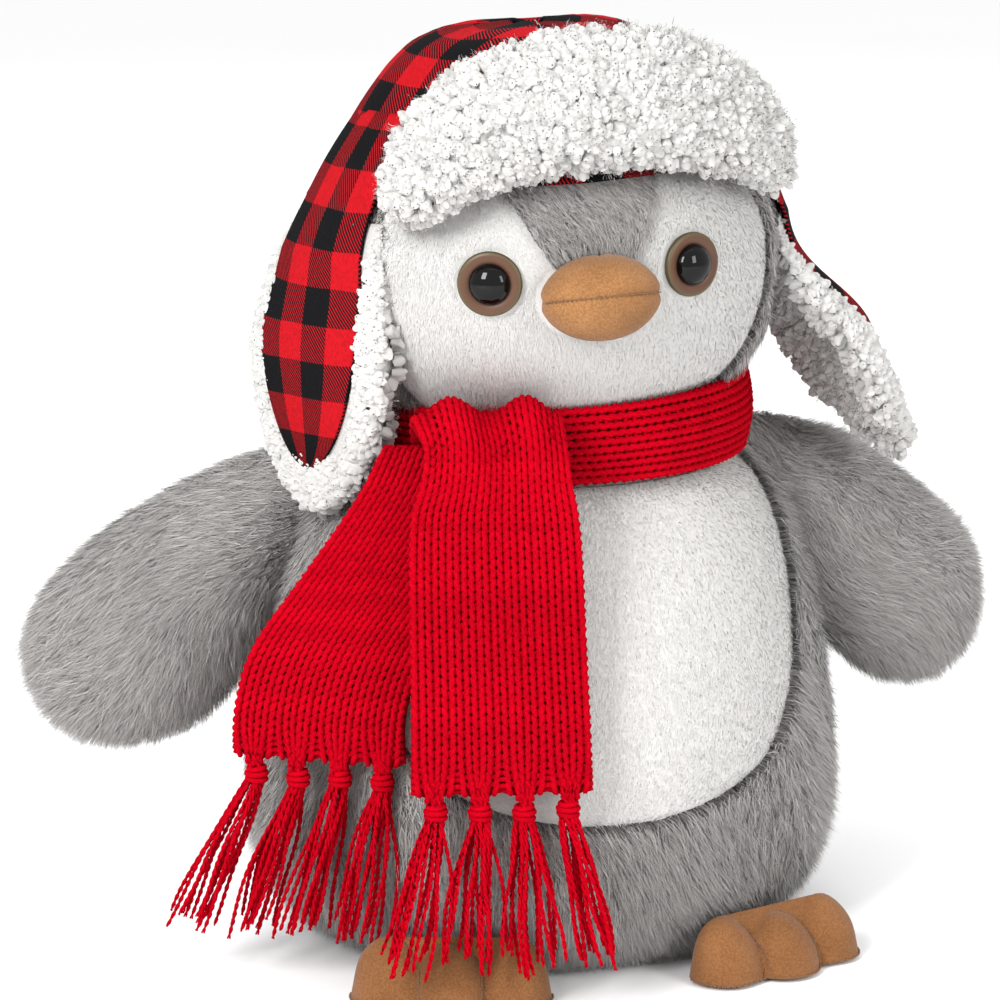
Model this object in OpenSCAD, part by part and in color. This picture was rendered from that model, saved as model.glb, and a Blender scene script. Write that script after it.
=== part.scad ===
// Plush penguin in a trapper hat and a knitted scarf, standing on its own base.
// Millimetres. +Z is up, the toy faces -Y, its own left side is +X.
// The origin is the centre of the flat base panel, at floor level.

/* [Body] */
// Widest width of the stuffed body
body_w = 184; // [176:1:190]
// Body depth from the centre line to the front
body_front = 84; // [80:1:86]
// Body depth from the centre line to the back
body_back = 80; // [74:1:84]
// Height of the neck seam
neck_z = 177; // [175:0.5:178]
// Thickness of the plush cloth
cloth = 1.6; // [1.2:0.1:2]

/* [Head] */
// Half width of the head
head_rx = 75; // [73:0.5:76]
// Half depth of the head
head_ry = 65; // [63:0.5:66]
// Half height of the head
head_rz = 56; // [55:0.5:57]
// Height of the head's centre
head_z = 226; // [225:0.5:228]
// Lean of the head towards the toy's right
head_lean = 3; // [0:0.1:3.2]
// Turn of the head towards the toy's right
head_yaw = 2.5; // [0:0.5:3]
// Diameter of the flat rim of an eye
eye_d = 20; // [18:0.5:21]
// Diameter of the raised pupil
pupil_d = 12.6; // [11:0.2:14]

/* [Wings] */
// Thickness of a stuffed wing
wing_t = 29; // [24:1:31]
// Angle that the wings are swept back
wing_sweep = 24; // [18:1:28]

/* [Feet] */
// Height of a foot
foot_h = 21; // [18:1:22]
// Outward turn of the feet
foot_splay = 18; // [10:1:20]

/* [Hat] */
// Half width of the crown at its lower edge
crown_rx = 77; // [76.5:0.5:78]
// Half depth of the crown at its lower edge
crown_ry = 70.5; // [70:0.5:72]
// Height of the top of the crown
crown_top = 294.5; // [292:0.5:298]
// Height of the turned-up brim at its middle
brim_h = 35; // [32:1:38]
// Thickness of the fleece brim
brim_t = 11; // [8:0.5:12]
// Width of an ear flap
flap_w = 47; // [44:1:50]
// Length of an ear flap
flap_l = 90; // [84:1:91]
// Outward flare of the toy's left ear flap
flap_flare = 27; // [20:1:29]

/* [Scarf] */
// Width of the knitted scarf
scarf_w = 54; // [48:1:56]
// Thickness of the knitted cloth
scarf_t = 3.6; // [3:0.2:4]
// Height of the lower end of the front tail, where its fringe starts
scarf_end = 67; // [62:1:72]
// Length of the fringe
fringe_l = 50; // [40:1:52]

/* [Hidden] */

// Colours
grey_fur = [0.59, 0.57, 0.56];
white_fur = [0.94, 0.94, 0.93];
fleece = [0.96, 0.96, 0.95];
red_check = [0.76, 0.09, 0.11];
red_knit = [0.80, 0.03, 0.10];
tan_suede = [0.72, 0.49, 0.30];
eye_brown = [0.42, 0.28, 0.19];
eye_black = [0.03, 0.03, 0.03];
wadding = [0.90, 0.89, 0.86];
clear_plastic = [0.85, 0.86, 0.88];

// Clearances: between pieces of one body, and between pieces that move apart
seam_gap = 0.4;
layer_gap = 2.7;
move_gap = 1;
left = 1;
right = -1;

// ---- Curves ---------------------------------------------------------------

// Smooth value at x through the rows [x, value, ...] of a table (Catmull-Rom)
function row_at(t, x, i = 0) = (i >= len(t) - 2 || x < t[i + 1][0]) ? i : row_at(t, x, i + 1);
function slope(t, i, k) =
    let (a = max(i - 1, 0), b = min(i + 1, len(t) - 1)) (t[b][k] - t[a][k]) / (t[b][0] - t[a][0]);
function smooth(t, x, k = 1) =
    let (xc = min(max(x, t[0][0]), t[len(t) - 1][0]), i = row_at(t, xc), h = t[i + 1][0] - t[i][0],
         s = (xc - t[i][0]) / h)
    (2 * s ^ 3 - 3 * s ^ 2 + 1) * t[i][k] + (s ^ 3 - 2 * s ^ 2 + s) * h * slope(t, i, k)
    + (3 * s ^ 2 - 2 * s ^ 3) * t[i + 1][k] + (s ^ 3 - s ^ 2) * h * slope(t, i + 1, k);
function mix(a, b, s) = a + (b - a) * s;

// ---- Solids from a surface f(u, v, off), u to the right and v up, seen from outside ----

// A sheet of thickness t behind the surface
module slab(f, nu, nv, t) {
    n = (nu + 1) * (nv + 1);
    id = function (i, j, k) k * n + j * (nu + 1) + i;
    quad = function (a, b, c, d) [[a, b, c], [a, c, d]];
    polyhedron(
        points = [for (k = [0, 1], j = [0:nv], i = [0:nu]) f(i / nu, j / nv, -k * t)],
        faces = [
            for (j = [0:nv - 1], i = [0:nu - 1]) each
                quad(id(i, j, 0), id(i, j + 1, 0), id(i + 1, j + 1, 0), id(i + 1, j, 0)),
            for (j = [0:nv - 1], i = [0:nu - 1]) each
                quad(id(i, j, 1), id(i + 1, j, 1), id(i + 1, j + 1, 1), id(i, j + 1, 1)),
            for (i = [0:nu - 1]) each
                quad(id(i, 0, 0), id(i + 1, 0, 0), id(i + 1, 0, 1), id(i, 0, 1)),
            for (i = [0:nu - 1]) each
                quad(id(i + 1, nv, 0), id(i, nv, 0), id(i, nv, 1), id(i + 1, nv, 1)),
            for (j = [0:nv - 1]) each
                quad(id(0, j + 1, 0), id(0, j, 0), id(0, j, 1), id(0, j + 1, 1)),
            for (j = [0:nv - 1]) each
                quad(id(nu, j, 0), id(nu, j + 1, 0), id(nu, j + 1, 1), id(nu, j, 1))]);
}

// A closed form whose rings go all the way round, with flat ends
module loft(f, nu, nv, off = 0) {
    id = function (i, j) j * nu + (i % nu);
    quad = function (a, b, c, d) [[a, b, c], [a, c, d]];
    polyhedron(
        points = [for (j = [0:nv], i = [0:nu - 1]) f(i / nu, j / nv, off)],
        faces = [
            for (j = [0:nv - 1], i = [0:nu - 1]) each
                quad(id(i, j), id(i, j + 1), id(i + 1, j + 1), id(i + 1, j)),
            [for (i = [0:nu - 1]) id(i, 0)],
            [for (i = [nu - 1:-1:0]) id(i, nv)]]);
}

// A ring of thickness t, closed on itself
module band(f, nu, nv, t) {
    n = nu * (nv + 1);
    id = function (i, j, k) k * n + j * nu + (i % nu);
    quad = function (a, b, c, d) [[a, b, c], [a, c, d]];
    polyhedron(
        points = [for (k = [0, 1], j = [0:nv], i = [0:nu - 1]) f(i / nu, j / nv, -k * t)],
        faces = [
            for (j = [0:nv - 1], i = [0:nu - 1]) each
                quad(id(i, j, 0), id(i, j + 1, 0), id(i + 1, j + 1, 0), id(i + 1, j, 0)),
            for (j = [0:nv - 1], i = [0:nu - 1]) each
                quad(id(i, j, 1), id(i + 1, j, 1), id(i + 1, j + 1, 1), id(i, j + 1, 1)),
            for (i = [0:nu - 1]) each
                quad(id(i, 0, 0), id(i + 1, 0, 0), id(i + 1, 0, 1), id(i, 0, 1)),
            for (i = [0:nu - 1]) each
                quad(id(i + 1, nv, 0), id(i, nv, 0), id(i, nv, 1), id(i + 1, nv, 1))]);
}

// ---- Body -----------------------------------------------------------------

// Share of the full width and depth at each share of the neck's height
body_form = [[0, 0.66], [0.05, 0.80], [0.12, 0.93], [0.24, 1], [0.42, 0.99], [0.60, 0.925],
             [0.76, 0.83], [0.84, 0.745], [0.885, 0.655], [0.94, 0.59], [1, 0.54]];
// Turn of the belly panel's edge at each height
belly_form = [[53, 3], [55, 12], [59, 23], [67, 35], [84, 46], [100, 53], [135, 65], [157, 69]];
side_turn = 90;
body_cells = 28;

function body_point(turn, z, off) =
    let (k = smooth(body_form, z / neck_z), depth = cos(turn) > 0 ? body_front : body_back)
    [(k * body_w / 2 + off) * sin(turn), -(k * depth + off) * cos(turn), z];

// The panel between two turns that may change with height
module body_panel(z0, z1, from, to, nu, nv)
    slab(function (u, v, off) let (z = mix(z0, z1, v)) body_point(mix(from(z), to(z), u), z, off),
         nu, nv, cloth);

module base_panel() color(grey_fur)
    loft(function (u, v, off) let (p = body_point(360 * u, 0, off)) [p[0], p[1], v * cloth], body_cells, 1);

belly_top = neck_z - 22;

module belly_panel() color(white_fur)
    body_panel(54, belly_top, function (z) -smooth(belly_form, z) + seam_gap / 2,
               function (z) smooth(belly_form, z) - seam_gap / 2, 10, 10);

// The grey border round the belly: a strip that runs down one side, below it and up the other
module body_front_panel() color(grey_fur) {
    low = cloth + seam_gap;
    // Edge of the belly and outer edge of the strip, at a place s from -1 (right) to 1 (left)
    inner = function (s) let (z = mix(53, belly_top, abs(s) ^ 1.5)) [sign(s) * smooth(belly_form, z), z];
    outer = function (s) abs(s) < 0.45
        ? [s / 0.45 * (side_turn - 1), low]
        : [sign(s) * (side_turn - 1), mix(low, belly_top, (abs(s) - 0.45) / 0.55)];
    slab(function (u, v, off)
             let (s = 2 * u - 1, i = inner(s), o = outer(s),
                  p = mix(o, [i[0] + sign(s) * seam_gap, i[1] - seam_gap], v))
             body_point(p[0], p[1], off),
         36, 5, cloth);
}

module body_back_panel(side) color(grey_fur)
    body_panel(cloth + seam_gap, belly_top,
               side == left ? function (z) side_turn : function (z) 180 + seam_gap,
               side == left ? function (z) 180 - seam_gap : function (z) 360 - side_turn, 8, 9);

module body_stuffing() color(wadding)
    difference() {
        loft(function (u, v, off) body_point(360 * u, mix(cloth + layer_gap, neck_z, v), off),
             body_cells, 10, -cloth - layer_gap);
        pellet_form(1);
    }

// Bag of plastic pellets that weights the base
module pellet_form(off)
    translate([0, 0, 6 - off]) cylinder(r1 = 44 + off, r2 = 50 + off, h = 20 + 2 * off, $fn = 48);

module pellet_bag() color(white_fur)
    difference() {
        pellet_form(0);
        pellet_form(-1);
    }

module pellets() color(clear_plastic) pellet_form(-1.3);

// ---- Head -----------------------------------------------------------------

head_y = -11;
// Room under the head's flat underside, which the lean tips to one side
neck_gap = 3.8;
head_low = -asin((head_z - neck_z - neck_gap) / head_rz);
// Turn of the seam between forehead and face, at each latitude
wedge_form = [[-2, 6], [4, 10], [18, 17], [31, 24], [46, 30]];
// Turn of the outer edge of the white face, at each latitude
face_form = [[-62, 50], [-40, 55], [-10, 56], [20, 54], [36, 50], [46, 42]];
face_top = 46;
head_top = 84;

module on_head()
    translate([0, 0, neck_z]) rotate([0, -head_lean, -head_yaw]) translate([0, 0, -neck_z]) children();

// The head narrows towards the top, where the hat sits, and is full at the cheeks
head_taper = 1.45;
cheek_fill = 0.6;
function head_point(turn, lat, off) =
    let (k = cos(lat) ^ (lat > 0 ? head_taper : cheek_fill))
    [(head_rx + off) * k * sin(turn), head_y - (head_ry + off) * k * cos(turn),
     head_z + (head_rz + off) * sin(lat)];

module head_panel(lat0, lat1, from, to, nu, nv, off0 = 0)
    slab(function (u, v, off) let (lat = mix(lat0, lat1, v)) head_point(mix(from(lat), to(lat), u), lat, off + off0),
         nu, nv, cloth);

eye_turn = 24.5;
eye_lat = -1;

// Frame of an eye: +Z points out of the face
module at_eye(side) {
    p = head_point(side * eye_turn, eye_lat, 0);
    on_head() translate(p) rotate([90, 0, side * (eye_turn - 3)]) children();
}

module face_panel(side) color(white_fur)
    difference() {
        on_head() head_panel(head_low + 1, face_top,
            function (lat) side == left ? (lat > -2 ? smooth(wedge_form, lat) : 0) + 0.3 : -smooth(face_form, lat),
            function (lat) side == left ? smooth(face_form, lat) : (lat > -2 ? -smooth(wedge_form, lat) : 0) - 0.3,
            6, 12);
        at_eye(side) cylinder(r = 2.6, h = 12, center = true, $fn = 24);
    }

// The grey wedge over the beak, widening into the top of the head
module forehead_panel() color(grey_fur) {
    edge = function (lat) smooth(lat <= face_top ? wedge_form : face_form, min(lat, face_top)) - 2.2;
    on_head() {
        head_panel(0, face_top, function (lat) -edge(lat), function (lat) edge(lat), 4, 6);
        head_panel(face_top + 1, head_top, function (lat) -edge(lat), function (lat) edge(lat), 6, 4);
    }
}

module head_back_panel(side) color(grey_fur)
    on_head() head_panel(head_low + 1, head_top,
        function (lat) side == left ? smooth(face_form, lat) + 0.5 : 180.4,
        function (lat) side == left ? 179.6 : 360 - smooth(face_form, lat) - 0.5, 9, 12);

module head_stuffing() color(wadding)
    difference() {
        on_head() loft(function (u, v, off) head_point(360 * u, mix(head_low, head_top, v), off),
                       24, 12, -cloth - layer_gap);
        for (side = [left, right]) at_eye(side) translate([0, 0, -13]) cylinder(r = 8.5, h = 30, $fn = 24);
    }

// Beak: a wide oval in two halves round its stuffing
beak_rx = 18;
beak_ry = 12;
beak_rz = 13;
beak_y = -82;
beak_z = 219.5;
beak_bow = 10;

function beak_point(turn, lat, off) =
    [(beak_rx + off) * cos(lat) * sin(turn), beak_y - (beak_ry + off) * cos(lat) * cos(turn),
     beak_z + (beak_rz + off) * sin(lat)];

module beak_half(lat0, lat1) color(tan_suede)
    on_head() slab(function (u, v, off) beak_point(mix(-84, 84, u), mix(lat0, lat1, v), off), 12, 5, 1.2);
module beak_upper() beak_half(beak_bow + 1, 86);
module beak_lower() beak_half(-86, beak_bow - 1);
module beak_stuffing() color(wadding)
    on_head() loft(function (u, v, off)
            let (p = beak_point(360 * u, mix(-80, 80, v), off)) [p[0], min(p[1], beak_y + 3.5), p[2]],
                   20, 7, -1.8);

// Eye: a flat brown rim on a stem, a glossy black pupil, and the washer that locks the stem
rim_t = 2.2;
module eye_rim(side) color(eye_brown) at_eye(side) {
    translate([0, 0, 0.8]) cylinder(d = eye_d, h = rim_t, $fn = 48);
    translate([0, 0, -12]) cylinder(r = 2.2, h = 13.2, $fn = 24);
}
module eye_pupil(side) color(eye_black) at_eye(side)
    translate([0, 0, 0.8 + rim_t + 0.1]) intersection() {
        translate([0, 0, -3.2]) sphere(d = pupil_d + 1.6, $fn = 48);
        cylinder(d = pupil_d, h = 8, $fn = 48);
    }
module eye_washer(side) color(clear_plastic) at_eye(side)
    translate([0, 0, -8.5]) difference() {
        cylinder(r = 7, h = 1.6, $fn = 36);
        translate([0, 0, -1]) cylinder(r = 2.3, h = 4, $fn = 24);
    }

// ---- Hat ------------------------------------------------------------------

// Share of the crown's radius at each share of its height
crown_form = [[0, 1], [0.14, 0.96], [0.29, 0.895], [0.44, 0.817], [0.59, 0.725], [0.74, 0.62],
              [0.85, 0.53], [0.94, 0.42], [0.985, 0.26], [1, 0.06]];
crown_low = 231;
crown_y = -8;

function crown_point(turn, v, off) =
    let (k = smooth(crown_form, v))
    [(crown_rx * k + off) * sin(turn), crown_y - (crown_ry * k + off) * cos(turn),
     mix(crown_low, crown_top, v) + off * v];

// Share of the crown's height at its lower edge, low at the back and high over the face
function crown_edge(turn) = 0.34 - 0.34 * (1 - cos(turn)) ^ 2 / 4;

module crown_panel(from, to)
    on_head() slab(function (u, v, off) let (turn = mix(from, to, u))
                       crown_point(turn, mix(crown_edge(turn), 1, v), off),
                   12, 10, 1.4);

module hat_crown_left() color(red_check) crown_panel(0.4, 119.6);
module hat_crown_right() color(red_check) crown_panel(240.4, 359.6);
module hat_crown_back() color(red_check) crown_panel(120, 240);
module hat_lining() color(fleece)
    on_head() band(function (u, v, off) let (turn = 360 * u)
                       crown_point(turn, mix(crown_edge(turn) + 0.05, 0.86, v), off - 2.2), 36, 8, 0.8);

// Brim: turned up in front of the crown, fleece outside and checked cloth behind
// Turns at which the brim ends, to the toy's right and left
brim_from = -44;
brim_to = 53;
brim_z = 261;
brim_drop = 16;
brim_end_h = 20;
function brim_point(turn, v, off) =
    let (e = turn < 0 ? turn / brim_from : turn / brim_to,
         low = brim_z - brim_drop * e ^ 2, h = mix(brim_h, brim_end_h, e ^ 4),
         k = smooth(crown_form, (low - crown_low) / (crown_top - crown_low)),
         out = brim_t + 2.5 + off + 3 * sin(180 * v) - 3 * v)
    [(crown_rx * k + out) * sin(turn), crown_y - (crown_ry * k + out) * cos(turn), low + h * v];

module hat_brim() color(fleece)
    on_head() slab(function (u, v, off) brim_point(mix(brim_from, brim_to, u), v, off), 16, 5, brim_t - 2.2);
module hat_brim_backing() color(red_check)
    on_head() slab(function (u, v, off) brim_point(mix(brim_from, brim_to, u), v * 0.96, off - brim_t + 1.8),
                   16, 5, 1.2);

// Ear flap: a tongue with a round tip that hangs from its hinge line and bulges over the cheek.
// Its rows are [right, left]: middle of the hinge line, turn that it faces, outward flare, bulge.
flap_top = [[-79, -31, 247], [80.9, -15, 236]];
flap_face = [-60, 98];
flap_swing = [0, flap_flare];
flap_bulge = [[[0, 0], [0.25, 4], [0.6, 4.6], [1, 2.5]], [[0, 0], [0.3, 2.5], [0.7, 1], [1, -3]]];
flap_round = 0.42;
flap_skew = 4;
flap_curl = 3;
flap_start = 5;

// Half width of a flap at a share v of its length, widened by grow
function flap_half(v, grow) =
    let (e = max(v - flap_round, 0) / (1 - flap_round)) max((flap_w / 2 + grow) * (1 - e ^ 2.2) ^ 0.55, 5);

function flap_point(i, u, v, off, grow) =
    let (half = flap_half(v, grow), across = [cos(flap_face[i]), sin(flap_face[i]), 0],
         face = [sin(flap_face[i]), -cos(flap_face[i]), 0], drop = mix(flap_start, flap_l + grow, v),
         out = smooth(flap_bulge[i], drop / flap_l) - flap_curl * (2 * half * u / flap_w) ^ 2 + off,
         c = cos(flap_swing[i]), s = sin(flap_swing[i]), skew = i == 0 ? flap_skew * v ^ 2 : 0)
    flap_top[i] + across * (half * u - skew) + face * (out * c + drop * s) + [0, 0, out * s - drop * c];

module flap_sheet(i, grow, back, t)
    on_head() slab(function (u, v, off) flap_point(i, 2 * u - 1, 1 - v, off - back, grow), 6, 10, t);

lining_t = 5.4;
module ear_flap(side) color(red_check) flap_sheet(side == left ? 1 : 0, 0, 0, 1.2);
module ear_flap_lining(side) color(fleece) flap_sheet(side == left ? 1 : 0, 3, 1.4, lining_t);

// ---- Wings ----------------------------------------------------------------

// Upper and lower edge of the toy's left wing in its own plane: [share of the span, x, z]
wing_upper = [[0, 66, 160], [0.25, 93, 154], [0.5, 119, 143], [0.75, 145, 126], [0.9, 160, 110], [1, 166, 99]];
wing_lower = [[0, 95, 100], [0.25, 106, 87], [0.5, 121, 75], [0.75, 142, 71], [0.9, 157, 77], [1, 165, 88]];
// Share of the full thickness along the span
wing_fill = [[0, 0.16], [0.12, 0.62], [0.3, 0.95], [0.55, 1], [0.8, 0.82], [0.93, 0.5], [1, 0.14]];
wing_y = 4;
wing_hinge_top = [wing_upper[0][1], wing_y, wing_upper[0][2]];
wing_hinge_low = [wing_lower[0][1], wing_y, wing_lower[0][2]];

function wing_point(turn, s, off) =
    let (up = [smooth(wing_upper, s, 1), wing_y, smooth(wing_upper, s, 2)],
         lo = [smooth(wing_lower, s, 1), wing_y, smooth(wing_lower, s, 2)],
         along = (up - lo) / 2, half = norm(along), t = wing_t / 2 * smooth(wing_fill, s))
    (up + lo) / 2 + along * (half + off) / half * cos(turn) + [0, max(t + off, 0.4) * sin(turn), 0];

// A wing is made for the toy's left side, swept back about its seam, and mirrored for the right
module at_wing(side)
    mirror([side == left ? 0 : 1, 0, 0])
        translate(wing_hinge_top) rotate(a = wing_sweep, v = wing_hinge_top - wing_hinge_low)
        translate(-wing_hinge_top) children();

module wing_panel(side, from, to) color(grey_fur)
    at_wing(side) slab(function (u, v, off) wing_point(mix(from, to, v), u, off), 9, 8, cloth);
module wing_front_panel(side) wing_panel(side, -179, -1);
module wing_back_panel(side) wing_panel(side, 1, 179);
module wing_stuffing(side) color(wadding)
    at_wing(side) loft(function (u, v, off) wing_point(-360 * u, mix(0.1, 0.93, v), off),
                       16, 8, -cloth - layer_gap);

// ---- Feet -----------------------------------------------------------------

foot_at = [48, -64, 0.3];
foot_in = 1.2;

// Outline of a foot that points along -Y, heel at the origin: three toes in front of a pad
module foot_outline(inset) {
    for (toe = [-1, 0, 1])
        translate([toe * 19.5, -17 - 4 * cos(90 * toe)]) circle(r = 12 - inset, $fn = 32);
    translate([-25 + inset, -20]) square([50 - 2 * inset, 20 - inset]);
}

module at_foot(side)
    translate([side * foot_at[0], foot_at[1], foot_at[2]]) rotate([0, 0, side * foot_splay]) children();

// Room for the body: its curve above, and a straight cut down from the line where the foot is sewn on,
// so that no heel is left behind that line to be pressed into the floor when the toes tilt up
foot_root = -12;
module body_room() {
    loft(function (u, v, off) body_point(360 * u, mix(-1, 60, v), off), body_cells, 6, move_gap + 0.4);
    for (side = [left, right]) at_foot(side) translate([-40, foot_root, -1]) cube([80, 40, 60]);
}

module foot_sole(side) color(tan_suede)
    difference() {
        at_foot(side) linear_extrude(foot_in) foot_outline(0);
        body_room();
    }
module foot_top(side) color(tan_suede)
    difference() {
        at_foot(side) difference() {
            translate([0, 0, foot_in + 0.1]) linear_extrude(foot_h - foot_in) foot_outline(0);
            translate([0, 0, foot_in]) linear_extrude(foot_h - 2 * foot_in) foot_outline(foot_in);
        }
        body_room();
    }
module foot_stuffing(side) color(wadding)
    difference() {
        at_foot(side) translate([0, 0, foot_in + 0.3]) linear_extrude(foot_h - 2 * foot_in - 0.8)
            foot_outline(foot_in + 0.3);
        body_room();
    }

// ---- Scarf ----------------------------------------------------------------

scarf_low = 157.5;
scarf_high = 177.5;
band_rx = 64.5;
band_ry = 60;
band_t = 4.5;

module scarf_neck_band() color(red_knit)
    band(function (u, v, off)
             let (r = off + 1.5 * sin(180 * v))
             [(band_rx + r) * sin(360 * u), -2 - (band_ry + r) * cos(360 * u), mix(scarf_low, scarf_high, v)],
         32, 4, band_t);

// A strip of cloth along stations [x, y, z, turn that its face points to]
function strip_row(p, w, t) =
    let (face = [sin(p[3]), -cos(p[3]), 0], across = [cos(p[3]), sin(p[3]), 0], c = [p[0], p[1], p[2]])
    [c - across * w / 2 + face * t / 2, c + across * w / 2 + face * t / 2,
     c + across * w / 2 - face * t / 2, c - across * w / 2 - face * t / 2];
module strip(stations, w, t) {
    rows = [for (p = stations) strip_row(p, w, t)];
    n = len(rows);
    polyhedron(
        points = [for (r = rows) each r],
        faces = [
            for (j = [0:n - 2], i = [0:3]) let (a = 4 * j + i, b = 4 * j + (i + 1) % 4) each
                [[a, b, b + 4], [a, b + 4, a + 4]],
            [3, 2, 1, 0],
            [4 * n - 4, 4 * n - 3, 4 * n - 2, 4 * n - 1]]);
}

// Stations of the two tails as [x, y, z, turn]
front_x = -40;
front_route = [[front_x, -83, 162, -14], [front_x, -85, 140, -14], [front_x, -87.5, 115, -14],
               [front_x, -90, 90, -13], [front_x, -91, scarf_end, -12]];
side_end = scarf_end + 5;
side_route = [[-57, -68, 153, -26], [-71, -65, 129, -29], [-84, -61, 108, -30], [-88.5, -58, 90, -30],
              [-88.5, -56, side_end, -30]];

// Rolls inside the knot: [y, z, radius]
knot_core = [[-75, 181, 6.5], [-70, 182, 5], [-76, 170, 5]];
module scarf_knot() color(red_knit)
    hull() for (c = knot_core)
        translate([front_x, c[0], c[1]]) rotate([0, 90, -14])
            cylinder(r = c[2], h = scarf_w - 12, center = true, $fn = 24);

module scarf_front_tail() color(red_knit) strip(front_route, scarf_w, scarf_t);
module scarf_side_tail() color(red_knit) strip(side_route, scarf_w, scarf_t);

// Fringe: four tied bunches of yarn under the end of a tail
module fringe(end, spread, length, lean, forward) {
    face = [sin(end[3]), -cos(end[3]), 0];
    across = [cos(end[3]), sin(end[3]), 0];
    for (i = [-1.5:1:1.5]) {
        top = [end[0], end[1], end[2] - 2] + across * i * scarf_w * 0.25;
        low = top + across * (i * spread + lean) + face * forward - [0, 0, length - 3];
        hull() {
            translate(top) sphere(r = 2.4, $fn = 16);
            translate(mix(top, low, 0.2)) sphere(r = 3, $fn = 16);
            translate(low) sphere(r = 4, $fn = 16);
        }
    }
}
module scarf_front_fringe() color(red_knit) fringe(front_route[4] - [0, 0, 1.4, 0], 5, fringe_l, 0, 15);
module scarf_side_fringe() color(red_knit) fringe(side_route[4] - [0, 0, 1.4, 0], 3, fringe_l - 4, -13, 2);

// ---- Nodes ----------------------------------------------------------------

base_panel();
belly_panel();
body_front_panel();
body_back_panel(left);  // body_back_panel_left
body_back_panel(right);  // body_back_panel_right
body_stuffing();
pellet_bag();
pellets();
scarf_neck_band();
scarf_knot();
face_panel(left);  // face_panel_left
face_panel(right);  // face_panel_right
forehead_panel();
head_back_panel(left);  // head_back_panel_left
head_back_panel(right);  // head_back_panel_right
head_stuffing();
beak_upper();
beak_lower();
beak_stuffing();
eye_rim(left);  // eye_rim_left
eye_rim(right);  // eye_rim_right
eye_pupil(left);  // eye_pupil_left
eye_pupil(right);  // eye_pupil_right
eye_washer(left);  // eye_washer_left
eye_washer(right);  // eye_washer_right
hat_crown_left();
hat_crown_right();
hat_crown_back();
hat_lining();
hat_brim();
hat_brim_backing();
ear_flap(left);  // ear_flap_left
ear_flap(right);  // ear_flap_right
ear_flap_lining(left);  // ear_flap_lining_left
ear_flap_lining(right);  // ear_flap_lining_right
wing_front_panel(left);  // wing_front_panel_left
wing_front_panel(right);  // wing_front_panel_right
wing_back_panel(left);  // wing_back_panel_left
wing_back_panel(right);  // wing_back_panel_right
wing_stuffing(left);  // wing_stuffing_left
wing_stuffing(right);  // wing_stuffing_right
foot_top(left);  // foot_top_left
foot_top(right);  // foot_top_right
foot_sole(left);  // foot_sole_left
foot_sole(right);  // foot_sole_right
foot_stuffing(left);  // foot_stuffing_left
foot_stuffing(right);  // foot_stuffing_right
scarf_front_tail();
scarf_front_fringe();
scarf_side_tail();
scarf_side_fringe();
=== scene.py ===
"""Looks of a plush penguin in a trapper hat and a knitted scarf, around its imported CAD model.

Shapes are worked out in the CAD's own millimetres and frame (+Z up, the toy faces -Y, its own
left side is +X), and go into the meshes in metres.
"""
import math

import bpy
import numpy as np
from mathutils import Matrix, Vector, kdtree


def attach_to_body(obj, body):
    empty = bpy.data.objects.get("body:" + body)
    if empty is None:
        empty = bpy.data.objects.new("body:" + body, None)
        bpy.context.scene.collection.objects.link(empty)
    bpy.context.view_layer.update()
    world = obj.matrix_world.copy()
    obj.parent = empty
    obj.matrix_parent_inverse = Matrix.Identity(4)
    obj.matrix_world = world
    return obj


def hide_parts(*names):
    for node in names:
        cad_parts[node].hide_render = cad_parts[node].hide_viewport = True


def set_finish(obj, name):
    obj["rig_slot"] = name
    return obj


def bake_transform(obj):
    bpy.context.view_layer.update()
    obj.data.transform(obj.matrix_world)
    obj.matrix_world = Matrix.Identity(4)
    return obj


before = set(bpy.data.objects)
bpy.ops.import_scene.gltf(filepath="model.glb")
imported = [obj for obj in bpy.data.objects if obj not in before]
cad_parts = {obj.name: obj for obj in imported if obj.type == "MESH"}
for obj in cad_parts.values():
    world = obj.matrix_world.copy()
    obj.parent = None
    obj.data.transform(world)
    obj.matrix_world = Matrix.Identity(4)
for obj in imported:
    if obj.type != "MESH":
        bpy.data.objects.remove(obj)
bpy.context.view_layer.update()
MM = 0.001
LEFT, RIGHT = 1, -1

# ---- Camera, floor and light: metres, degrees and watts ----------------------

MIDDLE = Vector((0, 0, 0.15))
LENS, SENSOR, CAMERA_SHIFT = 144.1, 36, (-0.04, -0.035)
CAMERA_WAY, CAMERA_AWAY = (-17, 12.5), 1.3
# Light boxes: name, azimuth, elevation, distance, width, height, power
LIGHTS = (("key_box", -48, 30, 1.5, 0.42, 0.7, 24), ("fill_box", 28, 20, 1.6, 0.4, 0.7, 10),
          ("top_box", 0, 85, 1.4, 1.0, 1.0, 2), ("back_box", 170, 40, 1.8, 1.0, 1.0, 6))
FLOOR_SIZE = 14


def direction(azimuth, elevation):
    """Unit vector from the object towards a viewer at these angles, in degrees."""
    a, e = math.radians(azimuth), math.radians(elevation)
    return Vector((math.sin(a) * math.cos(e), -math.cos(a) * math.cos(e), math.sin(e)))


def aim(obj, place, target):
    obj.location = place
    obj.rotation_euler = (Vector(target) - Vector(place)).to_track_quat("-Z", "Y").to_euler()


def add_camera():
    data = bpy.data.cameras.new("camera")
    camera = bpy.data.objects.new("camera", data)
    bpy.context.collection.objects.link(camera)
    bpy.context.scene.camera = camera
    data.lens, data.sensor_width = LENS, SENSOR
    data.shift_x, data.shift_y = CAMERA_SHIFT
    aim(camera, MIDDLE + direction(*CAMERA_WAY) * CAMERA_AWAY, MIDDLE)


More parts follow.
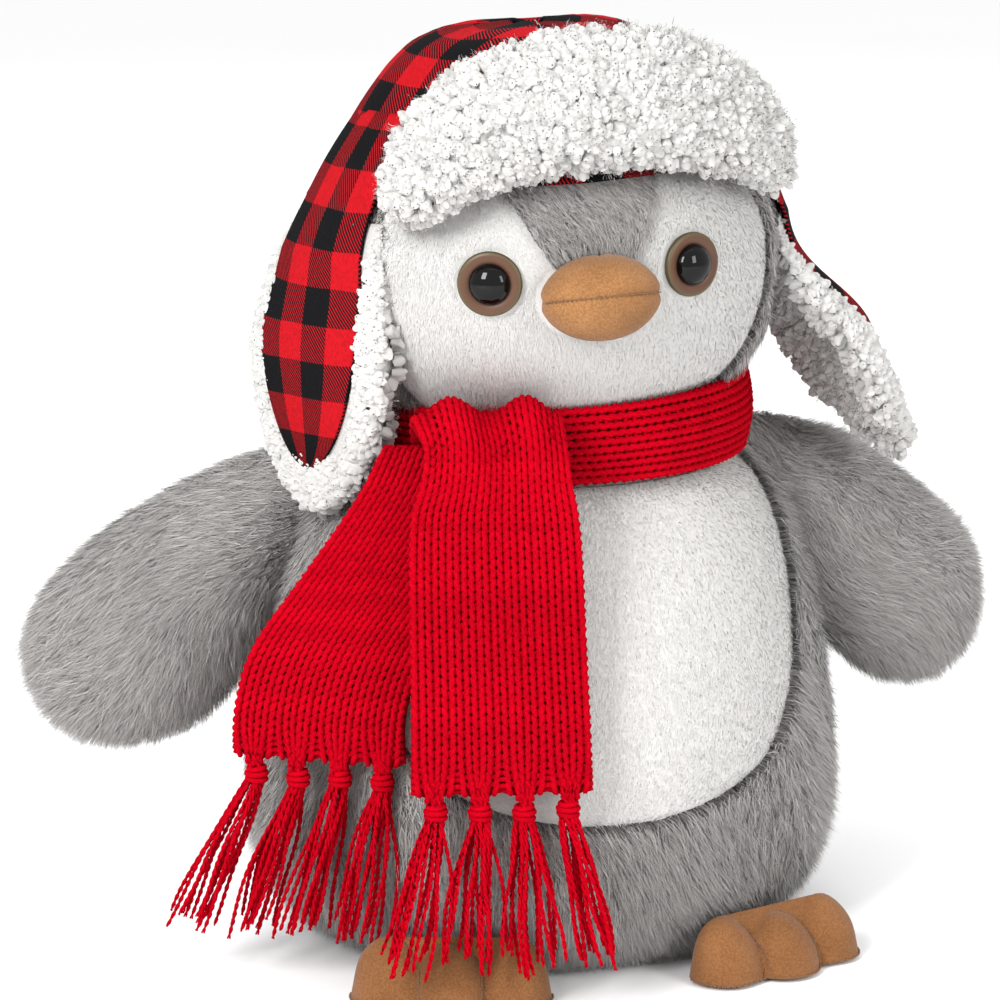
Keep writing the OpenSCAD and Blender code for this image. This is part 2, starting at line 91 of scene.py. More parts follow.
def add_area_light(name, azimuth, elevation, distance, width, height, power):
    data = bpy.data.lights.new(name, "AREA")
    data.shape = "RECTANGLE"
    data.size, data.size_y = width, height
    data.energy = power
    light = bpy.data.objects.new(name, data)
    bpy.context.collection.objects.link(light)
    aim(light, MIDDLE + direction(azimuth, elevation) * distance, MIDDLE)


def add_studio():
    bpy.ops.mesh.primitive_plane_add(size=FLOOR_SIZE, location=(0, 0, 0))
    floor = bpy.context.object
    floor.name = "floor"
    mat, shader, nodes, links = new_material("studio_floor", (0.93, 0.93, 0.93), 0.9)
    noise = add_noise(nodes, links, 3.0)
    colour_ramp(nodes, links, noise, shader, [(0, (0.92, 0.92, 0.92)), (1, (0.95, 0.95, 0.95))])
    floor.data.materials.append(mat)
    world = bpy.data.worlds.new("studio")
    bpy.context.scene.world = world
    world.use_nodes = True
    back = world.node_tree.nodes["Background"]
    back.inputs[0].default_value = (1, 1, 1, 1)
    back.inputs[1].default_value = 1.0
    for light in LIGHTS:
        add_area_light(*light)
    bpy.context.scene.view_settings.view_transform = "Standard"


# ---- Materials -------------------------------------------------------------


def new_material(name, colour, roughness, sheen=0.0, specular=0.15):
    mat = bpy.data.materials.new(name)
    mat.use_nodes = True
    nodes, links = mat.node_tree.nodes, mat.node_tree.links
    shader = nodes["Principled BSDF"]
    shader.inputs["Base Color"].default_value = (*colour, 1)
    shader.inputs["Roughness"].default_value = roughness
    shader.inputs["Sheen Weight"].default_value = sheen
    shader.inputs["Sheen Roughness"].default_value = 0.5
    shader.inputs["Specular IOR Level"].default_value = specular
    return mat, shader, nodes, links


def add_noise(nodes, links, scale, detail=3.0):
    """A noise texture at so many waves per metre, in the piece's own coordinates."""
    place = nodes.new("ShaderNodeTexCoord")
    noise = nodes.new("ShaderNodeTexNoise")
    noise.inputs["Scale"].default_value = scale
    noise.inputs["Detail"].default_value = detail
    links.new(place.outputs["Object"], noise.inputs["Vector"])
    return noise


def ramp_over(nodes, links, source, stops):
    """The colours of [place, colour] stops, over the first output of a node."""
    ramp = nodes.new("ShaderNodeValToRGB")
    for end in (0, -1):
        ramp.color_ramp.elements[end].position = stops[end][0]
        ramp.color_ramp.elements[end].color = (*stops[end][1], 1)
    for at, colour in stops[1:-1]:
        ramp.color_ramp.elements.new(at).color = (*colour, 1)
    links.new(source.outputs[0], ramp.inputs[0])
    return ramp.outputs[0]


def colour_ramp(nodes, links, source, shader, stops):
    links.new(ramp_over(nodes, links, source, stops), shader.inputs["Base Color"])


def add_bump(nodes, links, height, shader, distance, strength=1.0):
    """Relief from an output socket, so many metres high."""
    bump = nodes.new("ShaderNodeBump")
    bump.inputs["Distance"].default_value = distance
    bump.inputs["Strength"].default_value = strength
    links.new(height, bump.inputs["Height"])
    links.new(bump.outputs[0], shader.inputs["Normal"])


def strand_tones(name, tones):
    """One material for each tone of a pile's strands, darkest first."""
    return [new_material(f"{name}_{i}", tone, 0.75, 0.25)[0] for i, tone in enumerate(tones)]


def cloth_material(name, dark, light, scale, bump, roughness=0.9, sheen=0.2, specular=0.15):
    """Plain textile whose tone and surface vary with a fine noise."""
    mat, shader, nodes, links = new_material(name, light, roughness, sheen, specular=specular)
    noise = add_noise(nodes, links, scale)
    colour_ramp(nodes, links, noise, shader, [(0.3, dark), (0.7, light)])
    add_bump(nodes, links, noise.outputs[0], shader, bump)
    return mat


def plug(links, value, socket):
    """Give a socket a number or colour, or link an output socket to it."""
    if isinstance(value, bpy.types.NodeSocket):
        links.new(value, socket)
    elif value is not None:
        socket.default_value = value


def maths(nodes, links, operation, a, b=None):
    """A maths node on two inputs, each a number or an output socket."""
    node = nodes.new("ShaderNodeMath")
    node.operation = operation
    for socket, value in zip(node.inputs, (a, b)):
        plug(links, value, socket)
    return node.outputs[0]


def mix_colours(nodes, links, factor, a, b, way="MIX"):
    """A colour mix whose inputs are each a value or an output socket."""
    node = nodes.new("ShaderNodeMix")
    node.data_type = "RGBA"
    node.blend_type = way
    for name, value in (("Factor", factor), ("A", a), ("B", b)):
        plug(links, value, node.inputs[name])
    return node.outputs["Result"]


SQUARE, TWILL = 0.0116, 0.0013


def check_material():
    """Buffalo check over the UV map in metres: where a red and a black band cross, a twill of both."""
    mat, shader, nodes, links = new_material("buffalo_check", (0.6, 0.02, 0.03), 0.9, specular=0.03)
    uv = nodes.new("ShaderNodeUVMap")
    uv.uv_map = "cloth"
    wobble = add_noise(nodes, links, 60)
    split = nodes.new("ShaderNodeSeparateXYZ")
    links.new(uv.outputs[0], split.inputs[0])
    shift = maths(nodes, links, "MULTIPLY", maths(nodes, links, "SUBTRACT", wobble.outputs[0], 0.5), 0.0012)
    across = maths(nodes, links, "ADD", split.outputs[0], shift)
    along = maths(nodes, links, "ADD", split.outputs[1], shift)

    def cell(value, period):
        return maths(nodes, links, "FRACT", maths(nodes, links, "DIVIDE", value, period))

    warp = maths(nodes, links, "GREATER_THAN", cell(across, 2 * SQUARE), 0.5)
    weft = maths(nodes, links, "GREATER_THAN", cell(along, 2 * SQUARE), 0.5)
    diagonal = maths(nodes, links, "PINGPONG", cell(maths(nodes, links, "ADD", across, along), TWILL), 0.5)
    high = maths(nodes, links, "GREATER_THAN", diagonal, 0.32)
    low = maths(nodes, links, "LESS_THAN", diagonal, 0.18)
    # where both bands are red the cloth is red, and where one is, the twill shows red ribs on black
    ribs = maths(nodes, links, "MAXIMUM", maths(nodes, links, "MULTIPLY", warp, high),
                 maths(nodes, links, "MULTIPLY", weft, low))
    red = maths(nodes, links, "MAXIMUM", maths(nodes, links, "MULTIPLY", warp, weft), ribs)
    tone = add_noise(nodes, links, 900, 2).outputs[0]
    dyed = mix_colours(nodes, links, red, (0.003, 0.003, 0.004, 1), (0.50, 0.003, 0.009, 1))
    bright = nodes.new("ShaderNodeBrightContrast")
    bright.inputs["Bright"].default_value = 0.004
    links.new(mix_colours(nodes, links, 0.55, dyed, tone, "MULTIPLY"), bright.inputs[0])
    links.new(bright.outputs[0], shader.inputs["Base Color"])
    height = maths(nodes, links, "ADD", diagonal, maths(nodes, links, "MULTIPLY", tone, 0.8))
    add_bump(nodes, links, height, shader, 0.0004)
    return mat


def suede_material(name, dark, light):
    """Brushed suede cloth: a fine woven grain, soft cloudy tone and a velvet sheen."""
    mat, shader, nodes, links = new_material(name, light, 0.85, 0.12)
    cloud = ramp_over(nodes, links, add_noise(nodes, links, 60, 5), [(0.32, dark), (0.68, light)])
    place = nodes.new("ShaderNodeTexCoord")
    grain = nodes.new("ShaderNodeTexVoronoi")
    grain.inputs["Scale"].default_value = 1500
    links.new(place.outputs["Object"], grain.inputs["Vector"])
    specks = ramp_over(nodes, links, grain, [(0.1, (1, 1, 1)), (0.7, (0.5, 0.45, 0.4))])
    links.new(mix_colours(nodes, links, 0.6, cloud, specks, "MULTIPLY"), shader.inputs["Base Color"])
    add_bump(nodes, links, grain.outputs[0], shader, 0.00025, 0.8)
    return mat


# ---- Curves and meshes -----------------------------------------------------


def smooth(table, x, k=1):
    """Smooth value at x through rows [x, value, ...], the same curve as the CAD's own."""
    t = np.asarray(table, float)
    knots, values = t[:, 0], t[:, k]
    x = np.clip(x, knots[0], knots[-1])
    i = np.clip(np.searchsorted(knots, x, side="right") - 1, 0, len(knots) - 2)
    before = np.maximum(np.arange(len(knots)) - 1, 0)
    after = np.minimum(np.arange(len(knots)) + 1, len(knots) - 1)
    slopes = (values[after] - values[before]) / (knots[after] - knots[before])
    h = knots[i + 1] - knots[i]
    s = (x - knots[i]) / h
    return ((2 * s**3 - 3 * s**2 + 1) * values[i] + (s**3 - 2 * s**2 + s) * h * slopes[i]
            + (3 * s**2 - 2 * s**3) * values[i + 1] + (s**3 - s**2) * h * slopes[i + 1])


def mix(a, b, s):
    return a + (b - a) * s


def sind(a):
    return np.sin(np.radians(a))


def cosd(a):
    return np.cos(np.radians(a))


def stack(*parts):
    return np.stack(np.broadcast_arrays(*parts), axis=-1)


def unit(v):
    return v / np.maximum(np.linalg.norm(v, axis=-1, keepdims=True), 1e-12)


def turned(points, axis, angle, centre=(0, 0, 0)):
    """Points turned about an axis through centre, by degrees."""
    k = unit(np.asarray(axis, float))
    p = np.asarray(points, float) - centre
    c, s = cosd(angle), sind(angle)
    return p * c + np.cross(k, p) * s + k * (p @ k)[..., None] * (1 - c) + centre


def make_mesh(name, points, quads=(), triangles=(), materials=(), tones=None, uv=None, normals=None):
    """A mesh object from points in millimetres. tones is a material index for each face."""
    points = np.asarray(points, np.float32).reshape(-1, 3) * MM
    quads = np.asarray(quads, np.int32).reshape(-1, 4)
    triangles = np.asarray(triangles, np.int32).reshape(-1, 3)
    corners = np.concatenate([quads.ravel(), triangles.ravel()])
    sizes = np.concatenate([np.full(len(quads), 4), np.full(len(triangles), 3)]).astype(np.int32)
    mesh = bpy.data.meshes.new(name)
    mesh.vertices.add(len(points))
    mesh.vertices.foreach_set("co", points.ravel())
    mesh.loops.add(len(corners))
    mesh.loops.foreach_set("vertex_index", corners.astype(np.int32))
    mesh.polygons.add(len(sizes))
    starts = np.concatenate([[0], np.cumsum(sizes)[:-1]]).astype(np.int32)
    mesh.polygons.foreach_set("loop_start", starts)
    for mat in materials:
        mesh.materials.append(mat)
    if tones is not None:
        mesh.polygons.foreach_set("material_index", np.asarray(tones, np.int32))
    mesh.update(calc_edges=True)
    mesh.validate()
    mesh.shade_smooth()
    if uv is not None:
        layer = mesh.uv_layers.new(name="cloth")
        layer.data.foreach_set("uv", np.asarray(uv, np.float32)[corners].ravel())
    if normals is not None:
        mesh.normals_split_custom_set_from_vertices(unit(normals).astype(np.float32))
    piece = bpy.data.objects.new(name, mesh)
    bpy.context.collection.objects.link(piece)
    return piece


def grid_quads(nu, nv, closed=False):
    """Quads of a grid of nv + 1 rows, each of nu + 1 points, or of nu points if closed round."""
    width = nu if closed else nu + 1
    i, j = np.meshgrid(np.arange(nu), np.arange(nv))
    a = j * width + i
    b = j * width + (i + 1) % width
    return np.stack([a, b, b + width, a + width], -1).reshape(-1, 4).astype(np.int32)


def unit_grid(nu, nv):
    return np.meshgrid(np.linspace(0, 1, nu + 1), np.linspace(0, 1, nv + 1))


def two_faced(name, front, back, nu, nv, materials, uv=None):
    """A closed mesh from two grids of points, a front face and a back one, with walls between."""
    n = (nu + 1) * (nv + 1)
    quads = grid_quads(nu, nv)
    ids = np.arange(n).reshape(nv + 1, nu + 1)
    rim = np.concatenate([ids[0, :], ids[1:, -1], ids[-1, -2::-1], ids[-2:0:-1, 0]])
    after = np.roll(rim, -1)
    walls = np.stack([after, rim, rim + n, after + n], -1)
    return make_mesh(name, np.concatenate([front.reshape(-1, 3), back.reshape(-1, 3)]),
                     np.concatenate([quads, quads[:, ::-1] + n, walls]), materials=materials, uv=uv)


def slab(name, f, nu, nv, t, materials, uv=None):
    """A closed sheet of thickness t behind f(u, v, off). uv is the UV map of each of its faces."""
    u, v = unit_grid(nu, nv)
    both = None if uv is None else np.concatenate([uv, uv])
    return two_faced(name, f(u, v, 0), f(u, v, -t), nu, nv, materials, both)


def tube(path, radius, sides):
    """Points, quads and triangles of a tube along a path, both in mm; radius may vary along it."""
    path = np.asarray(path, float)
    n = len(path)
    along = unit(np.gradient(path, axis=0))
    guide = np.array([0.31, 0.52, 0.79])
    side = unit(np.cross(along, guide))
    up = np.cross(along, side)
    a = np.arange(sides) * 2 * np.pi / sides
    r = np.broadcast_to(np.asarray(radius, float), (n,))[:, None, None]
    points = path[:, None] + r * (side[:, None] * np.cos(a)[:, None] + up[:, None] * np.sin(a)[:, None])
    points = np.concatenate([points.reshape(-1, 3), path[:1], path[-1:]])
    last = (n - 1) * sides
    ends = []
    for i in range(sides):
        j = (i + 1) % sides
        ends += [[j, i, n * sides], [last + i, last + j, n * sides + 1]]
    return points, grid_quads(sides, n - 1, closed=True), np.array(ends, np.int32)


class Heap:
    """Collects many small shapes into one mesh."""

    def __init__(self):
        self.points, self.quads, self.triangles, self.quad_tones, self.triangle_tones = [], [], [], [], []
        self.count = 0

    def add(self, points, quads, triangles, tone=0):
        self.points.append(points)
        self.quads.append(np.asarray(quads).reshape(-1, 4) + self.count)
        self.triangles.append(np.asarray(triangles).reshape(-1, 3) + self.count)
        self.quad_tones.append(np.full(len(self.quads[-1]), tone))
        self.triangle_tones.append(np.full(len(self.triangles[-1]), tone))
        self.count += len(points)

    def make(self, name, materials):
        return make_mesh(name, np.concatenate(self.points), np.concatenate(self.quads),
                         np.concatenate(self.triangles), materials,
                         np.concatenate(self.quad_tones + self.triangle_tones))


def tree_of(points):
    """A tree that finds the nearest of these points."""
    tree = kdtree.KDTree(len(points))
    for k, p in enumerate(points):
        tree.insert(p, k)
    tree.balance()
    return tree


def attach(piece, body):
    """A piece moves with a body. Given instead (body, body, start, end), in mm, its transform is baked into
    its mesh and it moves with neither body; these four values are not used.
    """
    if isinstance(body, str):
        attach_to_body(piece, body)
    else:
        a, b, start, end = body
        tuple(np.array(start) * MM)
        tuple(np.array(end) * MM)
        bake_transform(piece)


# ---- Pile: strands of fur, as thin tapering blades ---------------------------

MOST_BLADES = 60000
# The directions and lengths of the waves by which the combing of a pile wanders
WANDER = (((.3, .8, .5), 9), ((.7, -.2, .6), 12), ((-.5, .4, .7), 7))


def scatter(f, count, rng, keep=None):
    """About count points spread evenly over a surface f(u, v, off), with their normals and their
    directions down the surface. keep(u, v) says which places take strands."""
    tries = count * 3
    u, v = rng.random(tries), rng.uniform(0, 1, tries)
    e = 1e-3
    here = f(u, v, 0.0)
    du = (f(np.minimum(u + e, 1), v, 0.0) - f(np.maximum(u - e, 0), v, 0.0)) / e
    dv = (f(u, np.minimum(v + e, 1), 0.0) - f(u, np.maximum(v - e, 0), 0.0)) / e
    normal = np.cross(du, dv)
    area = np.linalg.norm(normal, axis=-1)
    chosen = rng.random(tries) < area / np.percentile(area, 97)
    if keep is not None:
        chosen &= keep(u, v)
    picked = np.flatnonzero(chosen)[:count]
    return here[picked], unit(normal[picked]), -unit(dv[picked]), u[picked], v[picked]


def fur(name, roots, normals, flow, rng, length, width, materials, lift=0.5, clump=0.45, clump_size=9,
        spread=0.35, body=None, shorter=None, swirl=0.0, uneven=0.25):
    """Blades of pile in two joined lengths. flow is the combed direction at each root, lift how far
    the strands stand up, clump how far their tips gather into locks, swirl how far their combing
    wanders from place to place, and uneven how much their shading varies."""
    n = len(roots)
    wander = np.stack([np.sin(roots @ way / reach) for way, reach in WANDER], 1)
    flow = unit(flow + swirl * wander)
    size = length * rng.uniform(0.65, 1.15, n)
    if shorter is not None:
        size *= shorter
    wild = rng.normal(0, spread, (n, 3))
    start = unit(normals * 0.9 + flow * 0.25 + wild * 0.6)
    end = unit(normals * lift + flow + wild)
    middle = roots + start * (size * 0.45)[:, None]
    tip = middle + end * (size * 0.62)[:, None]
    if clump > 0:
        heads = rng.permutation(n)[:max(n // clump_size, 1)]
        tree = tree_of(roots[heads])
        own = heads[np.fromiter((tree.find(p)[1] for p in roots), int, n)]
        pull = clump * rng.uniform(0.5, 1.2, n)[:, None]
        tip += (tip[own] - tip) * pull
        middle += (middle[own] - middle) * pull * 0.4
    side = unit(np.cross(tip - roots, normals + 0.6 * rng.normal(0, 1, (n, 3))))
    side *= np.sign(np.sum(np.cross(side, tip - roots) * normals, axis=1) + 1e-9)[:, None]
    half = (width / 2 * rng.uniform(0.75, 1.3, n))[:, None] * side
    root = roots - normals * 0.4
    points = np.stack([root - half, root + half, middle + half * 0.85, middle - half * 0.85, tip], 1)
    points[..., 2] = np.maximum(points[..., 2], 0.3)
    first = np.arange(n)[:, None] * 5
    quads = first + np.array([0, 1, 2, 3])
    triangles = first + np.array([3, 2, 4])
    shine = unit(normals + uneven * rng.normal(0, 1, (n, 3)))
    custom = np.repeat(shine[:, None], 5, 1)
    custom[:, 4] = unit(custom[:, 4] + end * uneven)
    steps = len(materials) - 1
    # Strands differ in tone at random, and each blade's lower half takes a darker tone than its tip, or the
    # same: painted shade deep in the pile.
    tone = rng.normal(steps * 0.5, steps * 0.22, n)
    low = np.clip(np.rint(tone - steps * 0.22), 0, steps)
    high = np.clip(np.rint(tone + steps * 0.14), 0, steps)
    piece = make_mesh(name, points, quads, triangles, materials, np.concatenate([low, high]),
                      normals=custom.reshape(-1, 3))
    attach(piece, body)
    return piece


# ---- Body ------------------------------------------------------------------

BODY_W, BODY_FRONT, BODY_BACK, NECK_Z = 184, 84, 80, 177
CLOTH = 1.6
BODY_FORM = [[0, .66], [.05, .80], [.12, .93], [.24, 1], [.42, .99], [.60, .925],
             [.76, .83], [.84, .745], [.885, .655], [.94, .59], [1, .54]]
BELLY_FORM = [[53, 3], [55, 12], [59, 23], [67, 35], [84, 46], [100, 53], [135, 65], [157, 69]]
BELLY_TOP = NECK_Z - 22
SIDE_TURN = 90


def body_point(turn, z, off=0):
    k = smooth(BODY_FORM, np.asarray(z, float) / NECK_Z)
    depth = np.where(cosd(turn) > 0, BODY_FRONT, BODY_BACK)
    return stack((k * BODY_W / 2 + off) * sind(turn), -(k * depth + off) * cosd(turn), z)


def belly(u, v, off):
    z = mix(54, BELLY_TOP, v)
    return body_point(mix(-1, 1, u) * (smooth(BELLY_FORM, z) + 0.4), z, off)


def border(u, v, off):
    """The grey strip down one side of the belly, below it and up the other."""
    s = 2 * u - 1
    inner_z = mix(53, BELLY_TOP, np.abs(s) ** 1.5)
    inner_turn = np.clip(s / 0.06, -1, 1) * (smooth(BELLY_FORM, inner_z) - 0.4)
    share = np.clip((np.abs(s) - 0.45) / 0.55, 0, 1)
    outer_turn = np.clip(s / 0.45, -1, 1) * SIDE_TURN
    outer_z = mix(0.6, BELLY_TOP, share)
    return body_point(mix(outer_turn, inner_turn, v), mix(outer_z, inner_z, v), off)


def body_back(side):
    start = SIDE_TURN if side == LEFT else 180

    def point(u, v, off):
        return body_point(mix(start, start + 90, u), mix(0.6, BELLY_TOP, v), off)
    return point


def fur_panel(name, node, body, f, nu, nv, count, length, skin, tones, seed, along="down", fill=0.7,
              keep=None, width=0.34, grow=None, plump=-0.3, **look):
    """A plush panel: its backing cloth, which replaces the CAD node, and its pile."""
    cloth = slab(name, lambda u, v, off: f(u, v, off + plump), nu, nv, CLOTH - 0.3, [skin])
    attach(cloth, body)
    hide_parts(node)
    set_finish(cloth, look.pop("slot"))
    parts = math.ceil(count / MOST_BLADES)
    for part in range(parts):
        rng = np.random.default_rng(seed * 10 + part)
        roots, normals, down, u, v = scatter(f, math.ceil(count / parts), rng, keep)
        flow = down if along == "down" else unit(along(roots, u, v))
        shorter = None if grow is None else grow(roots, u, v)
        pile = fur(f"{name}_pile_{part + 1}", roots, normals, flow, rng, length, width, tones, body=body,
                   shorter=shorter, **look)
        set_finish(pile, cloth["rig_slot"])


def combed_down(roots, u, v):
    return stack(0 * u, 0 * u, -1 + 0 * u)


def add_body():
    look = dict(slot="grey_fur", lift=0.45, clump=0.5, spread=0.3, width=0.24, along=combed_down, swirl=0.4)
    fur_panel("body_front_skin", "body_front_panel", "torso", border, 90, 14, 110000, 10,
              GREY_SKIN, GREY, 11, **look)
    for side, name in ((LEFT, "left"), (RIGHT, "right")):
        fur_panel(f"body_back_skin_{name}", f"body_back_panel_{name}", "torso", body_back(side), 40, 50,
                  58000, 10, GREY_SKIN, GREY, 12 + side, **look)
    fur_panel("belly_skin", "belly_panel", "torso", belly, 60, 50, 118000, 2.1, WHITE_SKIN, WHITE, 15,
              slot="white_plush", lift=0.45, clump=0.1, spread=0.2, width=0.2, uneven=0.03, plump=0.8)
    base = slab("base_skin", lambda u, v, off: body_point(360 * u, 0, 0) * stack(v, v, v * 0)
                + stack(0, 0, off + CLOTH), 64, 6, CLOTH, [GREY_SKIN])
    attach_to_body(base, "torso")
    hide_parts("base_panel")
    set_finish(base, "grey_fur")


# ---- Head ------------------------------------------------------------------

HEAD_RX, HEAD_RY, HEAD_RZ, HEAD_Y, HEAD_Z = 75, 65, 56, -11, 226
HEAD_LEAN, HEAD_YAW = 3, 2.5
HEAD_TAPER, CHEEK_FILL, NECK_GAP = 1.45, 0.6, 3.8
HEAD_LOW = -math.degrees(math.asin((HEAD_Z - NECK_Z - NECK_GAP) / HEAD_RZ))
WEDGE_FORM = [[-2, 6], [4, 10], [18, 17], [31, 24], [46, 30]]
FACE_FORM = [[-62, 50], [-40, 55], [-10, 56], [20, 54], [36, 50], [46, 42]]
FACE_TOP, HEAD_TOP = 46, 84
EYE_TURN, EYE_LAT, PUPIL_R = 24.5, -1, 6.3
# Half the section of an eye's flat rim: [radius, height above the face]
RIM_FORM = [[0.01, 0.6], [9.0, 0.6], [9.8, 1.0], [10.0, 1.7], [9.9, 2.4], [9.5, 2.85], [8.6, 3.0],
            [7.0, 2.9], [6.45, 2.6], [0.01, 2.6]]
DOME_FORM = [[0.01, 2.3], [PUPIL_R - 0.1, 2.3]]
DOME_FORM += [[PUPIL_R * math.sin(a), 2.7 + 3.9 * math.cos(a)] for a in np.linspace(math.pi / 2, 0.002, 26)]
LOW_PILE_BY_EYE = 9.6
HAT_LEVEL = {LEFT: 236, RIGHT: 226}


def on_head(p):
    p = np.asarray(p, float) - (0, 0, NECK_Z)
    return turned(turned(p, (0, 1, 0), -HEAD_LEAN), (0, 0, 1), -HEAD_YAW) + (0, 0, NECK_Z)


def head_point(turn, lat, off=0):
    lat = np.asarray(lat, float)
    k = cosd(lat) ** np.where(lat > 0, HEAD_TAPER, CHEEK_FILL)
    return stack((HEAD_RX + off) * k * sind(turn), HEAD_Y - (HEAD_RY + off) * k * cosd(turn),
                 HEAD_Z + (HEAD_RZ + off) * sind(lat))


def face(side):
    def point(u, v, off):
        lat = mix(HEAD_LOW + 1, FACE_TOP, v)
        inner = np.where(lat > -2, smooth(WEDGE_FORM, lat), 0)
        outer = smooth(FACE_FORM, lat)
        turn = mix(inner, outer, u) if side == LEFT else mix(-outer, -inner, u)
        return on_head(head_point(turn, lat, off))
    return point


def forehead(u, v, off):
    lat = mix(-3, HEAD_TOP, v)
    edge = np.where(lat <= FACE_TOP, smooth(WEDGE_FORM, lat), smooth(FACE_FORM, FACE_TOP))
    return on_head(head_point(mix(-edge, edge, u), lat, off))


def head_back(side):
    def point(u, v, off):
        lat = mix(HEAD_LOW + 1, HEAD_TOP, v)
        edge = smooth(FACE_FORM, lat)
        turn = mix(edge, 180, u) if side == LEFT else mix(180, 360 - edge, u)
        return on_head(head_point(turn, lat, off))
    return point


def eye_frame(side):
    """Centre of an eye on the face, and the directions across, up and out of it."""
    centre = on_head(head_point(side * EYE_TURN, EYE_LAT, 0))
    a = side * (EYE_TURN - 3)
    across, out = stack(cosd(a), sind(a), 0), stack(sind(a), -cosd(a), 0)
    turn = lambda d: on_head(d + np.array([0, 0, NECK_Z])) - np.array([0, 0, NECK_Z])
    return centre, turn(across), turn(np.array([0, 0, 1.0])), turn(out)


def outside_eyes(radius):
    """Share of full length for pile: hardly any under an eye's rim, and short at the beak."""
    centres = [eye_frame(side)[0] for side in (LEFT, RIGHT)]

    def share(roots, u, v):
        d = np.min([np.linalg.norm(roots - c, axis=-1) for c in centres], axis=0)
        beak = np.linalg.norm((roots - BEAK_AT) / (BEAK_RX + 1, 2.5 * BEAK_RY, BEAK_RZ + 1), axis=-1)
        return np.clip((d - radius) / 1.2, 0.02, 1) * np.clip((beak - 0.95) * 12, 0.1, 1)
    return share


def under_hat(side, level):
    """Share of full length for pile, short above this level and where the top of a flap presses on it."""
    x, y, z = on_head(FLAP_TOP[side])

    def share(roots, u, v):
        hat = np.clip(1 - (roots[:, 2] - level) / 12, 0.3, 1)
        beside = np.clip((np.abs(roots[:, 1] - y) - 24) / 6, 0.3, 1)
        below = np.clip((z - 26 - roots[:, 2]) / 10, 0.3, 1)
        return np.minimum(hat, np.maximum(beside, below))
    return share


def lathe(profile, steps, centre, across, up, out):
    """A turned form from [radius, height] rows, with its height along out."""
    rows = np.array(profile, float)
    a = np.linspace(0, 2 * np.pi, steps, endpoint=False)
    ring = np.cos(a)[:, None] * across + np.sin(a)[:, None] * up
    points = centre + rows[:, 0][:, None, None] * ring + rows[:, 1][:, None, None] * out
    return points.reshape(-1, 3), grid_quads(steps, len(rows) - 1, closed=True)


def add_eyes():
    steps = 72
    radius = np.repeat([r for r, _ in RIM_FORM], steps) / 10.0
    for side, name in ((LEFT, "left"), (RIGHT, "right")):
        axes = eye_frame(side)
        points, quads = lathe(RIM_FORM, steps, *axes)
        rim = make_mesh(f"eye_ring_{name}", points, quads, materials=[EYE_RING],
                        uv=stack(radius, 0 * radius))
        points, quads = lathe(DOME_FORM, steps, *axes)
        pupil = make_mesh(f"eye_dome_{name}", points, quads, materials=[EYE_GLASS])
        for piece, node, slot in ((rim, "eye_rim_", "eye_brown"), (pupil, "eye_pupil_", "eye_black")):
            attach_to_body(piece, "head")
            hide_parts(node + name)
            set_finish(piece, slot)


BEAK_RX, BEAK_RY, BEAK_RZ, BEAK_Y, BEAK_Z, BEAK_BOW = 18, 12, 13, -82, 219.5, 10
BEAK_AT = on_head((0, BEAK_Y, BEAK_Z))
BEAK_CORNER, BEAK_WRAP = 84.0, 128


def beak_seam(turn):
    """Latitude of the bowed mouth seam, highest at the middle of the beak."""
    return BEAK_BOW * (1 - np.clip(turn / BEAK_CORNER, -1, 1) ** 2)


def beak_surface(turn, lat, off=0):
    """The stuffed beak, drawn in a little along its bowed mouth seam."""
    seam = beak_seam(turn)
    pinch = 0.8 * np.exp(-((lat - seam) / 7.0) ** 2)
    puff = 0.8 * np.exp(-((lat - seam) / 26.0) ** 2)
    r = off - pinch + puff
    return on_head(stack((BEAK_RX + r) * cosd(lat) ** 0.92 * sind(turn),
                         BEAK_Y - (BEAK_RY + r) * cosd(lat) ** 0.8 * cosd(turn),
                         BEAK_Z + (BEAK_RZ + r) * sind(lat)))


def add_beak():
    def half(upper):
        def point(u, v, off):
            turn = mix(-BEAK_WRAP, BEAK_WRAP, u)
            seam = beak_seam(turn)
            lat = mix(seam, 88, v) if upper else mix(-88, seam, v)
            return beak_surface(turn, lat, off)
        return point
    for upper, name in ((True, "beak_upper"), (False, "beak_lower")):
        piece = slab(name + "_skin", half(upper), 64, 32, 1.2, [BEAK_SUEDE])
        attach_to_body(piece, "head")
        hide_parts(name)
        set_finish(piece, "tan_suede")
    heap = Heap()
    for k in range(-15, 16):
        turn = np.linspace(k * 5 - 1.7, k * 5 + 1.7, 7)
        seam = beak_seam(turn)
        lift = -0.5 + 1.1 * np.sin(np.linspace(0, np.pi, 7))
        heap.add(*tube(beak_surface(turn, seam, lift), 0.2, 6))
    thread = heap.make("beak_seam_thread", [SEAM_THREAD])
    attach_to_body(thread, "head")
    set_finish(thread, "tan_suede")


def add_head():
    near_eye = outside_eyes(LOW_PILE_BY_EYE)
    for side, name in ((LEFT, "left"), (RIGHT, "right")):
        fur_panel(f"face_skin_{name}", f"face_panel_{name}", "head", face(side), 50, 60, 100000, 2.2,
                  WHITE_SKIN, WHITE, 21 + side, slot="white_plush", lift=0.45, clump=0.1, spread=0.2,
                  width=0.2, uneven=0.03, plump=0.8, grow=near_eye)
        fur_panel(f"head_back_skin_{name}", f"head_back_panel_{name}", "head", head_back(side), 50, 50,
                  56000, 8.5, GREY_SKIN, GREY, 25 + side, slot="grey_fur", lift=0.4, clump=0.5, spread=0.3,
                  width=0.24, swirl=0.4, keep=lambda u, v: v < 0.54, grow=under_hat(side, HAT_LEVEL[side]))
    fur_panel("forehead_skin", "forehead_panel", "head", forehead, 30, 60, 24000, 6.5, GREY_SKIN, GREY, 29,
              slot="grey_fur", lift=0.4, clump=0.45, spread=0.3, width=0.22, swirl=0.4,
              keep=lambda u, v: v < 0.6, grow=near_eye)
    add_eyes()
    add_beak()


# ---- Wings -----------------------------------------------------------------

